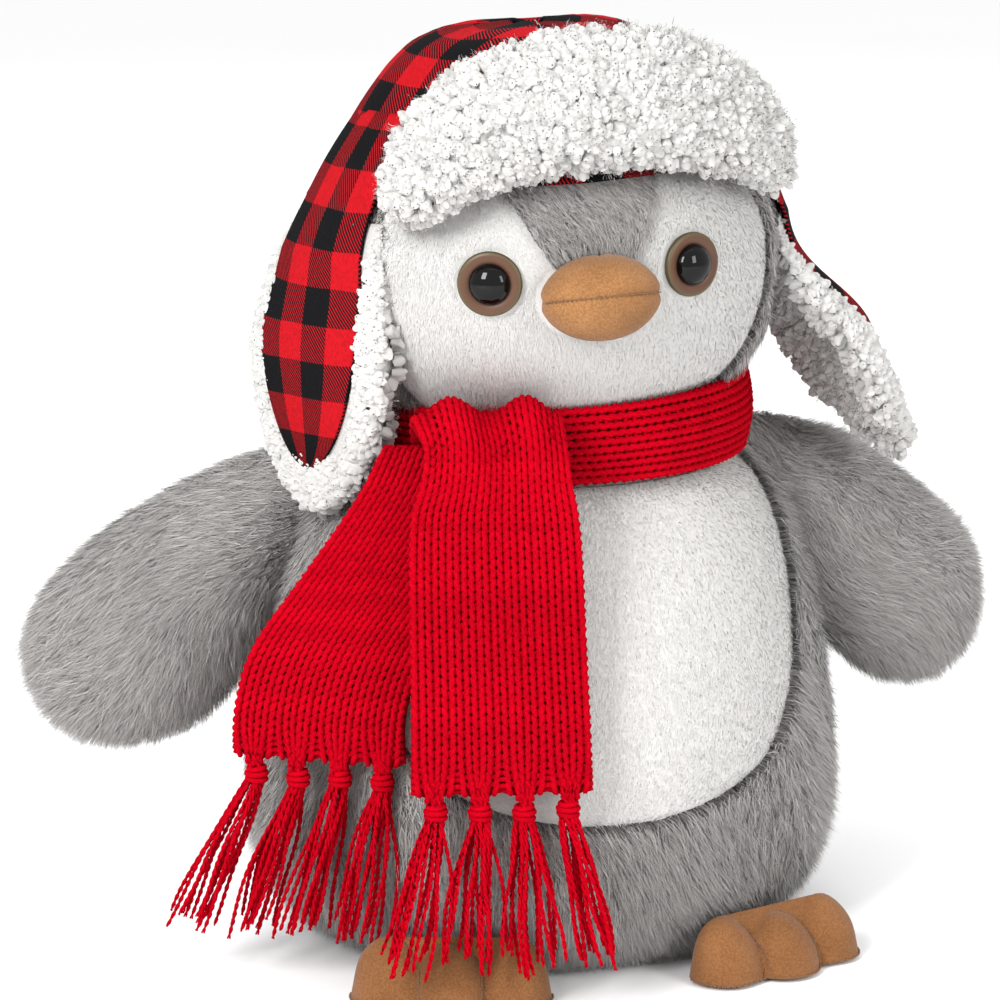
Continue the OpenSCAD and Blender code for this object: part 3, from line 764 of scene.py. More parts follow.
WING_UPPER = [[0, 66, 160], [.25, 93, 154], [.5, 119, 143], [.75, 145, 126], [.9, 160, 110], [1, 166, 99]]
WING_LOWER = [[0, 95, 100], [.25, 106, 87], [.5, 121, 75], [.75, 142, 71], [.9, 157, 77], [1, 165, 88]]
WING_FILL = [[0, .16], [.12, .62], [.3, .95], [.55, 1], [.8, .82], [.93, .5], [1, .14]]
WING_T, WING_Y, WING_SWEEP = 29, 4, 24
WING_TOP = np.array([WING_UPPER[0][1], WING_Y, WING_UPPER[0][2]], float)
WING_LOW = np.array([WING_LOWER[0][1], WING_Y, WING_LOWER[0][2]], float)


def wing_point(side, turn, s, off=0):
    up = stack(smooth(WING_UPPER, s, 1), WING_Y, smooth(WING_UPPER, s, 2))
    low = stack(smooth(WING_LOWER, s, 1), WING_Y, smooth(WING_LOWER, s, 2))
    along = (up - low) / 2
    tip = np.sqrt(1 - 0.98 * np.clip((np.asarray(s, float) - 0.9) / 0.1, 0, 1) ** 2)
    along = along * stack(tip, tip, tip)
    half = np.linalg.norm(along, axis=-1)
    thick = WING_T / 2 * smooth(WING_FILL, s) * tip
    p = (up + low) / 2 + along * ((half + off) / half * cosd(turn))[..., None]
    p = p + stack(0, np.maximum(thick + off, 0.4) * sind(turn), 0)
    p = turned(p, WING_TOP - WING_LOW, WING_SWEEP, WING_TOP)
    return p * (side, 1, 1)


def add_wings():
    for side, name in ((LEFT, "left"), (RIGHT, "right")):
        outward = np.array([side * 0.93, 0.30, -0.38])
        for front, where in ((True, "front"), (False, "back")):
            def panel(u, v, off, side=side, front=front):
                v = v if side == LEFT else 1 - v
                turn = mix(-180, 0, v) if front else mix(0, 180, v)
                return wing_point(side, turn, u, off)

            def combed(roots, u, v, outward=outward):
                droop = stack(0 * u, 0 * u, -0.25 - 0.35 * u)
                return outward + droop
            root = ("torso", f"{name}_wing", (side * 64, 6, 130), (side * 92, 14, 118))
            fur_panel(f"wing_{where}_skin_{name}", f"wing_{where}_panel_{name}", root, panel, 40, 30,
                      42000, 10, GREY_SKIN, GREY, 31 + side + 4 * front, along=combed, slot="grey_fur",
                      lift=0.4, clump=0.5, spread=0.3, width=0.24, swirl=0.4)


# ---- Feet ------------------------------------------------------------------

FOOT_AT, FOOT_SPLAY, FOOT_H, FOOT_ROOT = np.array([48, -64, 0.3]), 18, 21, -12
TOE_X, TOE_R = 19.5, 12
FOOT_STEPS = 144
STITCH_R, TOE_STITCH_R = 0.24, 0.3


def foot_outline_distance(x, y):
    """Distance inside the outline of a foot (positive inside): three toes in front of a pad."""
    toes = [TOE_R - np.hypot(x - t * TOE_X, y + 17 + 4 * math.cos(math.pi / 2 * t)) for t in (-1, 0, 1)]
    pad = np.minimum(np.minimum(25 - np.abs(x), y + 20), -y)
    return np.maximum(np.max(toes, axis=0), pad)


def foot_place(side, p):
    p = turned(p, (0, 0, 1), side * FOOT_SPLAY)
    return p + FOOT_AT * (side, 1, 1)


def foot_radius(angle):
    """How far the outline is from the foot's middle in each direction."""
    far = np.zeros_like(angle)
    for step in np.linspace(1, 40, 160):
        x, y = step * np.sin(angle), -19 - step * np.cos(angle)
        far = np.where(foot_outline_distance(x, y) > 0, step, far)
    return far


def foot_surface(angle, share, radius, top):
    """A point on the stuffed foot: share 0 at its middle and 1 at its edge, on the top or the sole."""
    x = radius * share * np.sin(angle)
    y = -19 - radius * share * np.cos(angle)
    y = np.minimum(y, FOOT_ROOT - 0.5)
    if not top:
        return stack(x, y, 0.15 + 1.2 * share ** 8)
    inside = np.clip(foot_outline_distance(x, y) / TOE_R, 0, 1)
    edge = 1 - np.clip((share - 0.9) / 0.1, 0, 1) ** 3
    full = np.sqrt(np.clip(1 - (1 - inside) ** 2, 0, 1)) * edge
    height = mix(FOOT_H - 0.6, 13.5, np.clip((-y - 14) / 16, 0, 1))
    return stack(x, y, 1.4 + (height - 1.4) * full)


def add_foot_skins(side, name, share, turn, edge):
    """The suede top and sole, each a rounded sheet of rings that close at its middle."""
    quads = grid_quads(FOOT_STEPS, len(share) - 1, closed=True)[:, ::-1]
    i = np.arange(FOOT_STEPS)
    for top, node in ((True, "foot_top_"), (False, "foot_sole_")):
        p = foot_surface(turn, share, edge[None, :], top)
        points = np.concatenate([p.reshape(-1, 3), [p[0].mean(0)]])
        fan = np.stack([np.full(FOOT_STEPS, len(points) - 1), i, (i + 1) % FOOT_STEPS], -1)
        piece = make_mesh(f"{node}skin_{name}", foot_place(side, points), quads, fan, [FOOT_SUEDE])
        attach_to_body(piece, f"{name}_foot")
        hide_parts(node + name)
        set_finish(piece, "tan_suede")


def add_foot_filling(side, name, share, turn, edge):
    top = foot_surface(turn, share * 0.78, edge[None, :], True) * (1, 1, 0.8)
    sole = foot_surface(turn, share * 0.78, edge[None, :], False) + (0, 0, 1.2)
    n = top.size // 3
    quads = grid_quads(FOOT_STEPS, len(share) - 1, closed=True)
    last = np.arange(FOOT_STEPS) + n - FOOT_STEPS
    wall = np.stack([last, np.roll(last, -1), np.roll(last, -1) + n, last + n], -1)
    points = np.concatenate([top.reshape(-1, 3), sole.reshape(-1, 3)])
    filling = make_mesh(f"foot_filling_{name}", foot_place(side, points),
                        np.concatenate([quads, quads[:, ::-1] + n, wall]), materials=[WADDING])
    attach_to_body(filling, f"{name}_foot")
    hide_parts(f"foot_stuffing_{name}")
    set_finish(filling, "wadding")


def add_foot_stitches(side, name, angle, edge):
    """Stitches round the sole's edge, and down the two creases between the toes."""
    heap = Heap()

    def edge_at(a):
        return np.interp(a, np.append(angle, 2 * np.pi), np.append(edge, edge[0]))
    for middle in angle:
        a = middle + np.linspace(-0.014, 0.014, 5)
        p = foot_surface(a, np.full(5, 1.0), edge_at(a), False)
        if p[:, 1].max() > FOOT_ROOT - 1.5:
            continue
        proud = 0.1 + 0.35 * np.sin(np.linspace(0, np.pi, 5))
        outward = stack(np.sin(a), -np.cos(a), 0 * a) * proud[:, None]
        heap.add(*tube(foot_place(side, p + outward), STITCH_R, 5))
    for crease in (-TOE_X / 2, TOE_X / 2):
        for k in range(5):
            y = -19.5 - 1.9 * k + np.linspace(-0.75, 0.75, 6)
            x = np.full(6, crease)
            a = np.arctan2(x, -(y + 19))
            far = edge_at(a % (2 * np.pi))
            p = foot_surface(a, np.clip(np.hypot(x, y + 19) / far, 0, 0.97), far, True)
            p[:, 2] += 0.05 + 0.5 * np.sin(np.linspace(0, np.pi, 6))
            heap.add(*tube(foot_place(side, p), TOE_STITCH_R, 5))
    thread = heap.make(f"foot_stitching_{name}", [SEAM_THREAD])
    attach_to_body(thread, f"{name}_foot")
    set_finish(thread, "tan_suede")


def add_feet():
    angle = np.linspace(0, 2 * np.pi, FOOT_STEPS, endpoint=False)
    radius = foot_radius(angle)
    edge = np.mean([np.roll(radius, k) for k in (-2, -1, 0, 1, 2)], axis=0)
    shares = np.sin(np.linspace(0.02, 1, 26) * np.pi / 2)
    share, turn = np.meshgrid(shares, angle, indexing="ij")
    for side, name in ((LEFT, "left"), (RIGHT, "right")):
        add_foot_skins(side, name, share, turn, edge)
        add_foot_filling(side, name, share, turn, edge)
        add_foot_stitches(side, name, angle, edge)


# ---- Hat -------------------------------------------------------------------

CROWN_RX, CROWN_RY, CROWN_TOP, CROWN_LOW, CROWN_Y = 77, 70.5, 294.5, 231, -8
CROWN_FORM = [[0, 1], [.14, .96], [.29, .895], [.44, .817], [.59, .725], [.74, .62],
              [.85, .53], [.94, .42], [.985, .26], [1, .06]]
BRIM_FROM, BRIM_TO, BRIM_Z, BRIM_DROP, BRIM_END_H, BRIM_H, BRIM_T = -44, 53, 261, 16, 20, 35, 11


def crown_point(turn, v, off=0):
    k = smooth(CROWN_FORM, v)
    return stack((CROWN_RX * k + off) * sind(turn), CROWN_Y - (CROWN_RY * k + off) * cosd(turn),
                 mix(CROWN_LOW, CROWN_TOP, v) + off * v)


def crown_edge(turn):
    return 0.34 - 0.34 * (1 - cosd(turn)) ** 2 / 4


def soft_dents(turn, v):
    """Slack of the unstuffed hat: a few broad dents and ripples, in mm, least at its top."""
    broad = 1.1 * np.sin(np.radians(5 * turn + 220 * v)) + 0.8 * np.sin(np.radians(9 * turn - 300 * v))
    return broad * (1 - v) + 0.7 * np.sin(np.radians(3 * turn + 500 * v))


def crown_panel(start):
    def point(u, v, off):
        turn = mix(start, start + 120, u)
        height = mix(crown_edge(turn), 1, v)
        pucker = -1.6 * np.exp(-((np.minimum(u, 1 - u)) / 0.025) ** 2)
        proud = 1.2 + soft_dents(turn, height) * 0.8 + pucker * (1 - height * 0.4)
        return on_head(crown_point(turn, height, off + proud))
    return point


def crown_cloth(u, v, start):
    """Where the panel's flat cloth lies, in mm: across from its middle, and up from its edge."""
    turn = mix(start, start + 120, u)
    height = mix(crown_edge(turn), 1, v)
    rise = np.linspace(0, 1, 200)
    k = smooth(CROWN_FORM, rise)
    steps = np.hypot(np.diff(k) * CROWN_RX, np.diff(rise) * (CROWN_TOP - CROWN_LOW))
    up = np.interp(height, rise, np.concatenate([[0], np.cumsum(steps)]))
    across = smooth(CROWN_FORM, height) * CROWN_RX * np.radians(turn - start - 60)
    return across, up


def brim_point(turn, v, off=0):
    e = np.where(turn < 0, turn / BRIM_FROM, turn / BRIM_TO)
    low = BRIM_Z - BRIM_DROP * e**2
    h = mix(BRIM_H, BRIM_END_H, e**4)
    k = smooth(CROWN_FORM, (low - CROWN_LOW) / (CROWN_TOP - CROWN_LOW))
    out = BRIM_T + 2.5 + off + 3 * sind(180 * v) - 3 * v
    return stack((CROWN_RX * k + out) * sind(turn), CROWN_Y - (CROWN_RY * k + out) * cosd(turn),
                 low + h * v)


FLAP_W, FLAP_L, FLAP_FLARE = 47, 90, 27
FLAP_TOP = {RIGHT: (-79, -31, 247), LEFT: (80.9, -15, 236)}
FLAP_FACE = {RIGHT: -60, LEFT: 98}
FLAP_SWING = {RIGHT: 0, LEFT: FLAP_FLARE}
FLAP_BULGE = {RIGHT: [[0, 0], [.25, 4], [.6, 4.6], [1, 2.5]], LEFT: [[0, 0], [.3, 2.5], [.7, 1], [1, -3]]}
FLAP_ROUND, FLAP_START, LINING_T = 0.42, 5, 5.4
FLAP_CURL = {RIGHT: 3, LEFT: 8}
FLAP_SKEW = {RIGHT: 4, LEFT: 0}
FLAP_CROWN_TURN = {RIGHT: -74, LEFT: 85}
FLAP_MEETS, FLAP_FREE, FLAP_ON_CROWN = -26, 50, 3.2
CLOTH_SHORTER = 7


def flap_half(v, grow, least):
    """Half the width of a flap, which is even above and rounds in to its tip."""
    e = np.maximum(v - FLAP_ROUND, 0) / (1 - FLAP_ROUND)
    return np.maximum((FLAP_W / 2 + grow) * np.maximum(1 - e**2.2, 0) ** 0.55, least)


def flap_point(side, u, v, off, grow, start=FLAP_START, longer=None):
    """u from -1 to 1 across, v from 0 at the upper end to 1 at the tip. Above its hinge line the flap
    lies on the crown, and it turns smoothly from the one into the other."""
    half = flap_half(v, grow, 5 if longer is None else 1.2)
    c, s = cosd(FLAP_FACE[side]), sind(FLAP_FACE[side])
    across, out_way = np.array([c, s, 0]), np.array([s, -c, 0])
    drop = mix(start, FLAP_L + (grow if longer is None else longer), v)
    out = smooth(FLAP_BULGE[side], drop / FLAP_L) - FLAP_CURL[side] * (2 * half * u / FLAP_W) ** 2 + off
    cs, ss = cosd(FLAP_SWING[side]), sind(FLAP_SWING[side])
    p = np.array(FLAP_TOP[side]) + across * (half * u - FLAP_SKEW[side] * v**2)[..., None]
    p = p + out_way * (out * cs + drop * ss)[..., None]
    p = p + stack(0, 0, out * ss - drop * cs)
    z = FLAP_TOP[side][2] - drop
    k = smooth(CROWN_FORM, np.clip((z - CROWN_LOW) / (CROWN_TOP - CROWN_LOW), 0, 1))
    turn = FLAP_CROWN_TURN[side] + np.degrees(half * u / CROWN_RX)
    proud = off + FLAP_ON_CROWN
    on_crown = stack((CROWN_RX * k + proud) * sind(turn), CROWN_Y - (CROWN_RY * k + proud) * cosd(turn), z)
    free = np.clip(drop / FLAP_FREE, 0, 1)
    free = (free**2 * (3 - 2 * free))[..., None]
    return on_head(mix(on_crown, p, free))


LUMP, TUFT_SIDES = 4.2, 7


def wool_tufts(name, roots, normals, flow, rng, body, share):
    """Small soft tufts of wool, each a bent cone with a round tip, leaning every way."""
    n = len(roots)
    share = np.broadcast_to(share, n)[:, None]
    size = rng.uniform(2.8, 4.6, (n, 1)) * share
    radius = rng.uniform(1.2, 1.9, (n, 1)) * share
    lean = unit(normals + 0.7 * flow + rng.normal(0, 0.45, (n, 3)))
    tip_way = unit(lean + rng.normal(0, 0.5, (n, 3)))
    across = unit(np.cross(lean, rng.normal(0, 1, (n, 3))))
    up = np.cross(lean, across)
    middle = roots + lean * size * 0.5
    rows = ((roots - normals * 0.6, 0.75), (middle, 1.0), (middle + tip_way * size * 0.33, 0.7),
            (middle + tip_way * size * 0.5, 0.15))
    a = np.arange(TUFT_SIDES) * 2 * np.pi / TUFT_SIDES
    ring = across[:, None] * np.cos(a)[:, None] + up[:, None] * np.sin(a)[:, None]
    points = np.stack([centre[:, None] + ring * (radius * k)[:, None] for centre, k in rows], 1)
    shine = np.broadcast_to(unit(ring * 0.6 + normals[:, None])[:, None], points.shape)
    each = grid_quads(TUFT_SIDES, len(rows) - 1, closed=True)
    quads = (np.arange(n)[:, None, None] * TUFT_SIDES * len(rows) + each).reshape(-1, 4)
    tones = np.repeat(rng.integers(0, len(FLEECE_TONES), n), len(each))
    piece = make_mesh(name, points, quads, materials=FLEECE_TONES, tones=tones,
                      normals=shine.reshape(-1, 3))
    attach(piece, body)
    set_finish(piece, "fleece")


def curls(name, f, nu, nv, t, body, node, seed, count, fibres, both=False):
    """Fleece: a thick pad with full round edges, heaped in lumps, each covered with small tufts.
    With both, the edge of the pad's other face has tufts too, and they are small at the end v = 1."""
    rng = np.random.default_rng(seed)

    def fullness(uu, vv):
        e = np.minimum(np.minimum(uu, 1 - uu) * 10, np.minimum(vv, 1 - vv) * 7)
        return np.sqrt(np.clip(1 - (1 - np.clip(e, 0, 1)) ** 2, 0, 1))

    def face(uu, vv, off):
        return f(uu, vv, off - t / 2 + t / 2 * fullness(uu, vv))

    def back(uu, vv, off):
        return f(1 - uu, vv, -off - t / 2 - t / 2 * fullness(uu, vv))

    heads = scatter(face, count, rng)[0]
    tree = tree_of(heads)
    size = LUMP * rng.uniform(0.7, 1.3, len(heads))

    def heaped(points):
        """How far the lumps raise the face at each point, and how their sides slope there."""
        rise, slope = [], []
        for p in points.reshape(-1, 3):
            near = [(k, d) for _, k, d in tree.find_n(p, 3)]
            domes = [size[k] * math.sqrt(max(1 - (d / size[k] / 1.3) ** 2, 0)) for k, d in near]
            high, (k, d) = max(zip(domes, near))
            rise.append(high)
            slope.append((p - heads[k]) / max(size[k], d))
        return np.array(rise).reshape(points.shape[:-1]) - LUMP * 0.5, np.array(slope)

    u, v = unit_grid(nu, nv)
    points_front = face(u, v, heaped(face(u, v, 0))[0])
    points_back = f(u, v, -t / 2 - t / 2 * fullness(u, v) * 0.96)
    piece = two_faced(name, points_front, points_back, nu, nv, [FLEECE])
    attach(piece, body)
    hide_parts(node)
    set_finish(piece, "fleece")

    def near_edge(uu, vv):
        return (np.minimum(uu, 1 - uu) < mix(0.24, 0.03, vv)) | (vv < 0.2)

    roots, normals, _, _, v_root = scatter(face, fibres, rng)
    rise, slope = heaped(roots)
    roots = roots + normals * rise[:, None]
    normals = unit(normals + 0.35 * slope)
    share = np.clip((1.04 - v_root) / 0.24, 0.3, 1) if both else 1
    wool_tufts(f"{name}_tufts_1", roots, normals, slope, rng, body, share)
    at = np.repeat(np.flatnonzero(v_root < (0.84 if both else 1)), 7)
    loose = roots[at] + rng.normal(0, 1, (len(at), 3)) + normals[at] * 1.6
    fuzz = fur(f"{name}_fuzz", loose, normals[at], unit(rng.normal(0, 1, loose.shape)), rng, 2.2, 0.16,
               FLEECE_TONES, lift=0.5, clump=0.4, spread=0.3, body=body, uneven=0.05)
    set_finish(fuzz, "fleece")
    if both:
        roots, normals, flow, u_root, v_root = scatter(back, fibres, rng, near_edge)
        inside = np.minimum(np.minimum(u_root, 1 - u_root) / 0.13, v_root / 0.16)
        share = np.clip(1.6 - inside, 0.3, 1) * np.clip((1.04 - v_root) / 0.24, 0.3, 1)
        wool_tufts(f"{name}_tufts_2", roots, normals, flow, rng, body, share)


def checked(name, f, nu, nv, t, uv, body, node):
    """A piece of the checked cloth. uv(u, v) is where it lies in the cloth as it was cut, in mm."""
    flat = np.stack([a.ravel() for a in uv(*unit_grid(nu, nv))], -1) * MM
    piece = slab(name, f, nu, nv, t, [CHECK], flat)
    attach(piece, body)
    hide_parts(node)
    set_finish(piece, "check_cloth")


def add_hat():
    for name, start in (("left", 0), ("back", 120), ("right", 240)):
        checked(f"hat_crown_{name}_cloth", crown_panel(start), 70, 48, 1.3,
                lambda u, v, start=start: crown_cloth(u, v, start), "head", f"hat_crown_{name}")

    def lining(u, v, off):
        turn = 360 * u
        return on_head(crown_point(turn, mix(crown_edge(turn) + 0.05, 0.86, v), off - 2.3))
    inner = slab("hat_lining_skin", lining, 72, 14, 0.7, [FLEECE])
    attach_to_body(inner, "head")
    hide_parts("hat_lining")
    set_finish(inner, "fleece")

    def brim(u, v, off):
        return on_head(brim_point(mix(BRIM_FROM, BRIM_TO, u), v, off))
    curls("hat_brim_fleece", brim, 190, 50, BRIM_T - 2.2, "head", "hat_brim", 41, count=420, fibres=3400)
    arc = math.radians(BRIM_TO - BRIM_FROM) * 70
    checked("hat_brim_cloth", lambda u, v, off: brim(u, v * 0.96, off - BRIM_T + 1.8), 70, 14, 1.2,
            lambda u, v: (u * arc, v * BRIM_H), "head", "hat_brim_backing")
    for side, name in ((LEFT, "left"), (RIGHT, "right")):
        body = f"{name}_ear_flap"

        def outer(u, v, off, side=side):
            return flap_point(side, 2 * u - 1, 1 - v, off, 0, FLAP_MEETS, -CLOTH_SHORTER)

        def inner(u, v, off, side=side):
            thin = mix(0.4, 1, np.clip((1 - v) * FLAP_L / 45, 0, 1))
            return flap_point(side, 1 - 2 * u, 1 - v, -1.5 - (LINING_T + off) * thin, 5)
        pivot = on_head(FLAP_TOP[side])
        hinge = ("head", body, pivot + (0, 0, 4), pivot - (0, 0, 12))
        checked(f"ear_flap_{name}_cloth", outer, 36, 60, 1.1,
                lambda u, v: ((u - 0.5) * FLAP_W, v * (FLAP_L - CLOTH_SHORTER - FLAP_MEETS)), hinge,
                f"ear_flap_{name}")
        curls(f"ear_flap_{name}_fleece", inner, 70, 100, LINING_T, hinge, f"ear_flap_lining_{name}",
              43 + side, count=230, fibres=2600, both=True)


# ---- Scarf -----------------------------------------------------------------

SCARF_W, SCARF_T, SCARF_END, FRINGE_L = 54, 3.6, 67, 50
SCARF_LOW, SCARF_HIGH, BAND_RX, BAND_RY = 157.5, 182, 64.5, 60
WALE, COURSE, YARN = 4.5, 3.0, 0.95
KNOT_AT = 117
# Stations of a strip, from its lower end up: [x, y, z, turn that it faces, share of its full width]
FRONT_ROUTE = [[-40, -91.2, SCARF_END, -12, 1.03], [-40, -90.2, 90, -13, 1.01], [-40, -87.7, 115, -14, .99],
               [-40, -85.4, 140, -14, .97], [-40, -84.4, 155, -14, .93], [-39.5, -84.6, 165, -14, .84],
               [-39, -82.5, 175, -14, .80], [-39, -77, 181.5, -14, .82], [-38, -70, 183, -14, .84],
               [-37, -63, 179, -14, .84], [-37, -60, 172, -14, .8]]
SIDE_END = SCARF_END + 5
SIDE_ROUTE = [[-88.5, -56, SIDE_END, -30, 1.02], [-88.5, -58, 90, -30, 1], [-84, -61, 108, -30, 1],
              [-71, -65, 129, -29, .98], [-58, -68.5, 150, -26, .93], [-51, -69, 162, -23, .9],
              [-46, -66, 172, -21, .86]]


def ribbon(route, width):
    """A strip f(u, v, off) along stations, v from 0 at its lower end to 1 at its upper end."""
    rows = np.array(route, float)
    lengths = np.linalg.norm(np.diff(rows[:, :3], axis=0), axis=1)
    at = np.concatenate([[0], np.cumsum(lengths)])
    table = np.column_stack([at, rows])

    def middle(s):
        return stack(*[smooth(table, s, k) for k in (1, 2, 3)])

    def point(u, v, off):
        s = v * at[-1]
        hem = np.exp(-(s / 8.0) ** 2)
        u = u + 0.03 * hem * np.sin(8 * np.pi * u)
        p = middle(s) + stack(0, 0, 1.8 * hem * (1 + np.cos(8 * np.pi * u)))
        ahead, behind = middle(np.minimum(s + 0.5, at[-1])), middle(np.maximum(s - 0.5, 0))
        turn, wide = smooth(table, s, 4), smooth(table, s, 5)
        across = stack(cosd(turn), sind(turn), 0)
        normal = unit(np.cross(across, unit(ahead - behind)))
        return p + across * ((u - 0.5) * width * wide)[..., None] + normal * (0 * s + off)[..., None]
    return point, at[-1]


def knit(name, f, width, length, body, seed, ripple=None):
    """Stocking stitch in real yarn over a strip f(u, v, off): each course is one length of yarn that
    loops through the course below it."""
    rng = np.random.default_rng(seed)
    wales = max(int(round(width / WALE)), 3)
    courses = max(int(round(length / COURSE)), 3)
    t = np.linspace(0, wales, wales * 12 + 1)
    u = (t + 0.17 * np.sin(4 * np.pi * t)) / wales
    rise = -0.92 * np.cos(2 * np.pi * t)
    thick = YARN * (1 + 0.05 * np.sin(3 * t))
    heap = Heap()
    for j in range(courses):
        sway = 0.04 * rng.normal(0, 1, 4)
        v = (j + 0.5 + rise + sway[0] * np.sin(2 * np.pi * t / wales + sway[1] * 50)) / courses
        depth = 0.35 - 0.5 * YARN * np.cos(4 * np.pi * t) + 0.15 * np.sin(0.9 * t + 40 * sway[2])
        off = SCARF_T / 2 - YARN + depth
        if ripple is not None:
            off = off + ripple(u, v)
        heap.add(*tube(f(u, v, off), thick, 6), tone=int(rng.integers(0, len(YARNS))))
    piece = heap.make(name, YARNS)
    attach(piece, body)
    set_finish(piece, "red_knit")
    return piece


def lint(name, f, count, seed, body, thick):
    """Fine loose fibres over the knitting."""
    rng = np.random.default_rng(seed)
    roots, normals = scatter(lambda u, v, off: f(u, v, off + thick), count, rng)[:2]
    astray = unit(rng.normal(0, 1, roots.shape))
    pile = fur(name, roots, normals, astray, rng, 2.8, 0.08, YARNS[1:], lift=0.5, clump=0, spread=0.8,
               body=body)
    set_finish(pile, "red_knit")
    return pile


def plied(start, end, sag, rng, radius):
    """A strand of two plies twisted together, between two points, bowed by sag."""
    n = max(int(np.linalg.norm(end - start) / 1.1), 8)
    s = np.linspace(0, 1, n)
    wave = rng.normal(0, 1, 3)
    core = mix(start, end, s[:, None]) + np.outer(np.sin(np.pi * s), sag)
    core += np.outer(0.7 * np.sin(7 * s + wave[0] * 3), (1, 0.4, 0))
    core += np.outer(0.5 * np.sin(11 * s + wave[1] * 3), (0.3, 1, 0))
    length = np.linalg.norm(end - start)
    turn = 2 * np.pi * s * length / 6 + wave[2]
    for phase in (0, np.pi):
        twist = np.stack([np.cos(turn + phase), np.sin(turn + phase), 0 * s], -1) * radius * 0.52
        slim = radius * 0.62 * np.clip(1.25 - 0.55 * s**6, 0, 1)
        yield tube(core + twist, slim, 5)


def add_fringe(name, f, spread, lean, forward, length, body, node, seed):
    """Four tied bunches of yarn under the end of a strip f, each with a knot of three turns."""
    rng = np.random.default_rng(seed)
    heap = Heap()
    left, middle, right = f(np.array([0.0, 0.5, 1.0]), np.zeros(3), 0)
    across = unit(right - left)
    out = np.cross(across, (0, 0, 1.0))

    def strand(start, end, sag, radius=0.7, tone=None):
        for part in plied(start, end, sag, rng, radius):
            heap.add(*part, tone=int(rng.integers(0, len(YARNS))) if tone is None else tone)
    for k in (-1.5, -0.5, 0.5, 1.5):
        top = middle + across * k * SCARF_W * 0.25
        knot = top - np.array([0, 0, 7.5 + rng.uniform(-1, 1)]) + out * 0.5
        foot = knot + across * (k * spread + lean) + out * forward - np.array([0, 0, length - 9])
        for turn in np.linspace(0, 2 * np.pi, 15, endpoint=False):
            ring = across * math.cos(turn) + out * math.sin(turn)
            reach = 6.5 * rng.uniform(0.4, 1.0)
            end = foot + ring * reach + np.array([0, 0, rng.uniform(-3, 5)]) + across * rng.normal(0, 2.4)
            end[2] = max(end[2], 2.5)
            strand(knot + ring * 1.9, end, ring * rng.uniform(0.5, 2.2))
        a = np.linspace(0, 2 * np.pi, 25)
        for j, (drop, r) in enumerate(((0.8, 2.8), (-0.9, 3.0), (-2.5, 2.4))):
            ring = (np.outer(np.cos(a), across) + np.outer(np.sin(a), out)) * r
            ring += np.outer(np.cos(a) * 0.25 * (j - 1), (0, 0, 1))
            heap.add(*tube(knot - np.array([0, 0, drop]) + ring, YARN, 7), tone=j % len(YARNS))
        for aside in (-1.6, -0.5, 0.5, 1.6):
            start = top + across * aside + out * 2.0 + np.array([0, 0, 3.5])
            strand(start, knot + across * aside * 0.7 + out * 0.8, out * 1.0, 0.9, tone=1)
    piece = heap.make(name, YARNS)
    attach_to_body(piece, body)
    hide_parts(node)
    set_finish(piece, "red_knit")
    return piece


def add_neck_band():
    """The band round the neck, whose wales run round it, so its cloth's length is its girth."""
    length = math.pi * (BAND_RX + BAND_RY)

    def band(u, v, off):
        bulge = off + 2.2 * np.sin(np.pi * np.clip(v, 0, 1)) - 1.0
        turn = -360 * u + 180
        return stack((BAND_RX + bulge) * sind(-turn), -2 - (BAND_RY + bulge) * cosd(turn),
                     mix(SCARF_LOW, SCARF_HIGH - 2.5 * sind(turn), v))
    cloth = slab("scarf_neck_cloth", lambda u, v, off: band(u, v, off - 1.6), 96, 8, 1.6, [KNIT_CLOTH])
    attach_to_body(cloth, "torso")
    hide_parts("scarf_neck_band")
    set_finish(cloth, "red_knit")
    yarn = knit("scarf_neck_yarn", lambda u, v, off: band(v, 1 - u, off + 0.6), 24, length, "torso", 51)


def add_tail(name, route, ripple, nodes, hang, seed, fringe):
    """A hanging tail: its cloth, the knitting over it, loose fibres and a fringe. ripple(u, v, s) is
    how far it stands proud, s being the mm from its lower end."""
    f, length = ribbon(route, SCARF_W)

    def proud(u, v):
        return ripple(u, v, v * length)
    cloth = slab(f"scarf_{name}_cloth", lambda u, v, off: f(u, v, off - 0.7 + proud(u, v)), 24, 60, 1.2,
                 [KNIT_CLOTH])
    attach(cloth, hang)
    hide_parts(*nodes)
    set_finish(cloth, "red_knit")
    yarn = knit(f"scarf_{name}_yarn", f, SCARF_W, length, hang, seed, ripple=proud)
    fuzz = lint(f"scarf_{name}_lint", f, 7000, seed + 10, hang, 1.6)
    tassels = add_fringe(f"scarf_{name}_tassels", f, *fringe, f"{name}_tail", f"scarf_{name}_fringe",
                         seed + 9)


def add_scarf():
    def gathers(u, v, s):
        """The pinch where the front tail comes over the neck band."""
        near = np.exp(-((s - KNOT_AT) / 15.0) ** 2)
        return 3.4 * near * np.cos(2 * np.pi * 2 * (u - 0.25)) + 0.8 * np.sin(7 * v + 3 * u)

    def waves(u, v, s):
        return 0.8 * np.sin(6 * v + 2 * u)
    over_band = ("torso", "front_tail", (-40, -84, 170), (-40, -84, 156))
    add_neck_band()
    add_tail("front", FRONT_ROUTE, gathers, ("scarf_front_tail", "scarf_knot"), over_band, 52,
             (6, 0, 15, FRINGE_L + 3))
    add_tail("side", SIDE_ROUTE, waves, ("scarf_side_tail",), "side_tail", 53, (4, -15, 1, FRINGE_L + 9))


# ---- Inside pieces, and the whole toy ----------------------------------------


def dress_inner_nodes():
    """Finishes for the CAD pieces that stay as they are, inside the toy."""
    finishes = {"eye_washer_left": PLASTIC, "eye_washer_right": PLASTIC, "pellets": PLASTIC,
                "pellet_bag": WHITE_SKIN}
    for name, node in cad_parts.items():
        if node.hide_render:
            continue
        mat = finishes.get(name, WADDING)
        node.data.materials.clear()
        node.data.materials.append(mat)


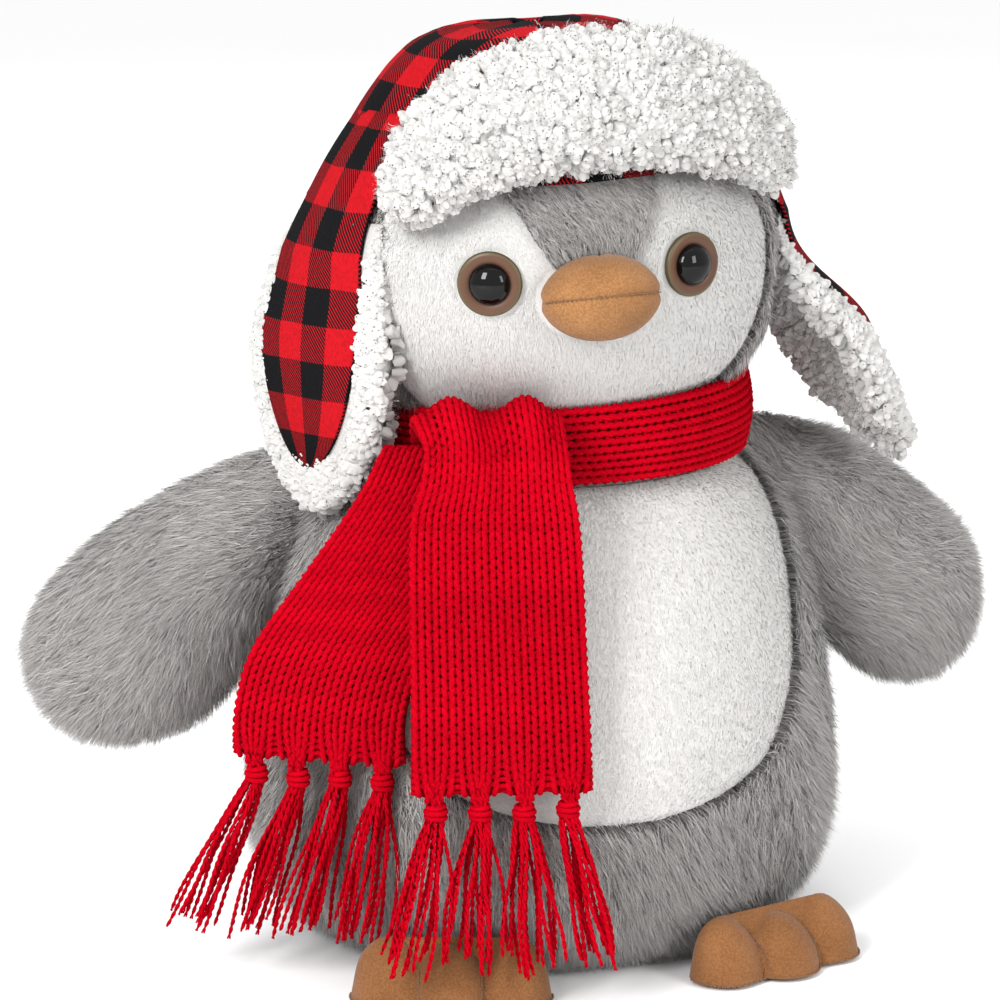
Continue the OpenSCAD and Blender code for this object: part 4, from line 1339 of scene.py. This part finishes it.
GREY = strand_tones("grey_pile", [(.125, .116, .111), (.20, .188, .181), (.285, .270, .260),
                                  (.375, .358, .346), (.47, .453, .441)])
WHITE = strand_tones("white_pile", [(.63, .622, .605), (.65, .641, .625), (.67, .662, .645)])
FLEECE_TONES = strand_tones("fleece_pile", [(.43, .423, .409), (.455, .447, .433), (.48, .472, .458)])
GREY_SKIN = cloth_material("grey_backing", (.08, .076, .073), (.13, .123, .118), 900, 0.0003)
# The white backing is darker than the white pile's strands: painted shade, matching the shade among the
# strands where the backing shows, as round the eyes and the beak.
WHITE_SKIN = cloth_material("white_backing", (.52, .512, .497), (.55, .542, .527), 900, 0.0002, sheen=0.0)
FLEECE = cloth_material("fleece_curls", (.43, .423, .409), (.48, .472, .458), 1400, 0.0006, sheen=0.0)
YARNS = [cloth_material(f"red_yarn_{i}", (.27 * k, .0003 * k, .005 * k), (.43 * k, .0005 * k, .008 * k),
                        1800, 0.00025, sheen=0.0, specular=0.02) for i, k in enumerate((0.94, 1.0, 1.06))]
KNIT_CLOTH = cloth_material("knit_backing", (.16, .0004, .003), (.30, .0005, .006), 1500, 0.0003,
                            sheen=0.0, specular=0.02)
CHECK = check_material()
BEAK_SUEDE = suede_material("beak_suede", (.24, .112, .041), (.33, .158, .060))
FOOT_SUEDE = suede_material("foot_suede", (.19, .079, .026), (.26, .112, .040))
SEAM_THREAD = cloth_material("seam_thread", (.12, .055, .025), (.20, .10, .045), 3000, 0.0001)
WADDING = cloth_material("wadding", (.70, .69, .66), (.85, .84, .81), 300, 0.001)
PLASTIC = cloth_material("clear_plastic", (.62, .64, .67), (.78, .80, .83), 200, 0.0002, 0.35, 0.0)


def eye_ring_material():
    """Dark amber plastic, a little olive at the rim, with faint turning marks."""
    mat, shader, nodes, links = new_material("eye_ring_plastic", (.17, .085, .045), 0.38, specular=0.28)
    uv = nodes.new("ShaderNodeUVMap")
    uv.uv_map = "cloth"
    split = nodes.new("ShaderNodeSeparateXYZ")
    links.new(uv.outputs[0], split.inputs[0])
    colour_ramp(nodes, links, split, shader,
                [(0.60, (.018, .009, .006)), (0.70, (.085, .037, .020)), (0.88, (.08, .037, .020)),
                 (0.96, (.08, .062, .027)), (1.0, (.045, .036, .018))])
    noise = add_noise(nodes, links, 700)
    add_bump(nodes, links, noise.outputs[0], shader, 0.00003, 0.4)
    return mat


def eye_glass_material():
    mat, shader, nodes, links = new_material("eye_dome_gloss", (.002, .002, .002), 0.03, specular=0.22)
    noise = add_noise(nodes, links, 120)
    colour_ramp(nodes, links, noise, shader, [(0, (.001, .001, .001)), (1, (.003, .003, .003))])
    return mat


EYE_RING = eye_ring_material()
EYE_GLASS = eye_glass_material()

add_camera()
add_studio()
add_body()
add_head()
add_wings()
add_feet()
add_hat()
add_scarf()
dress_inner_nodes()
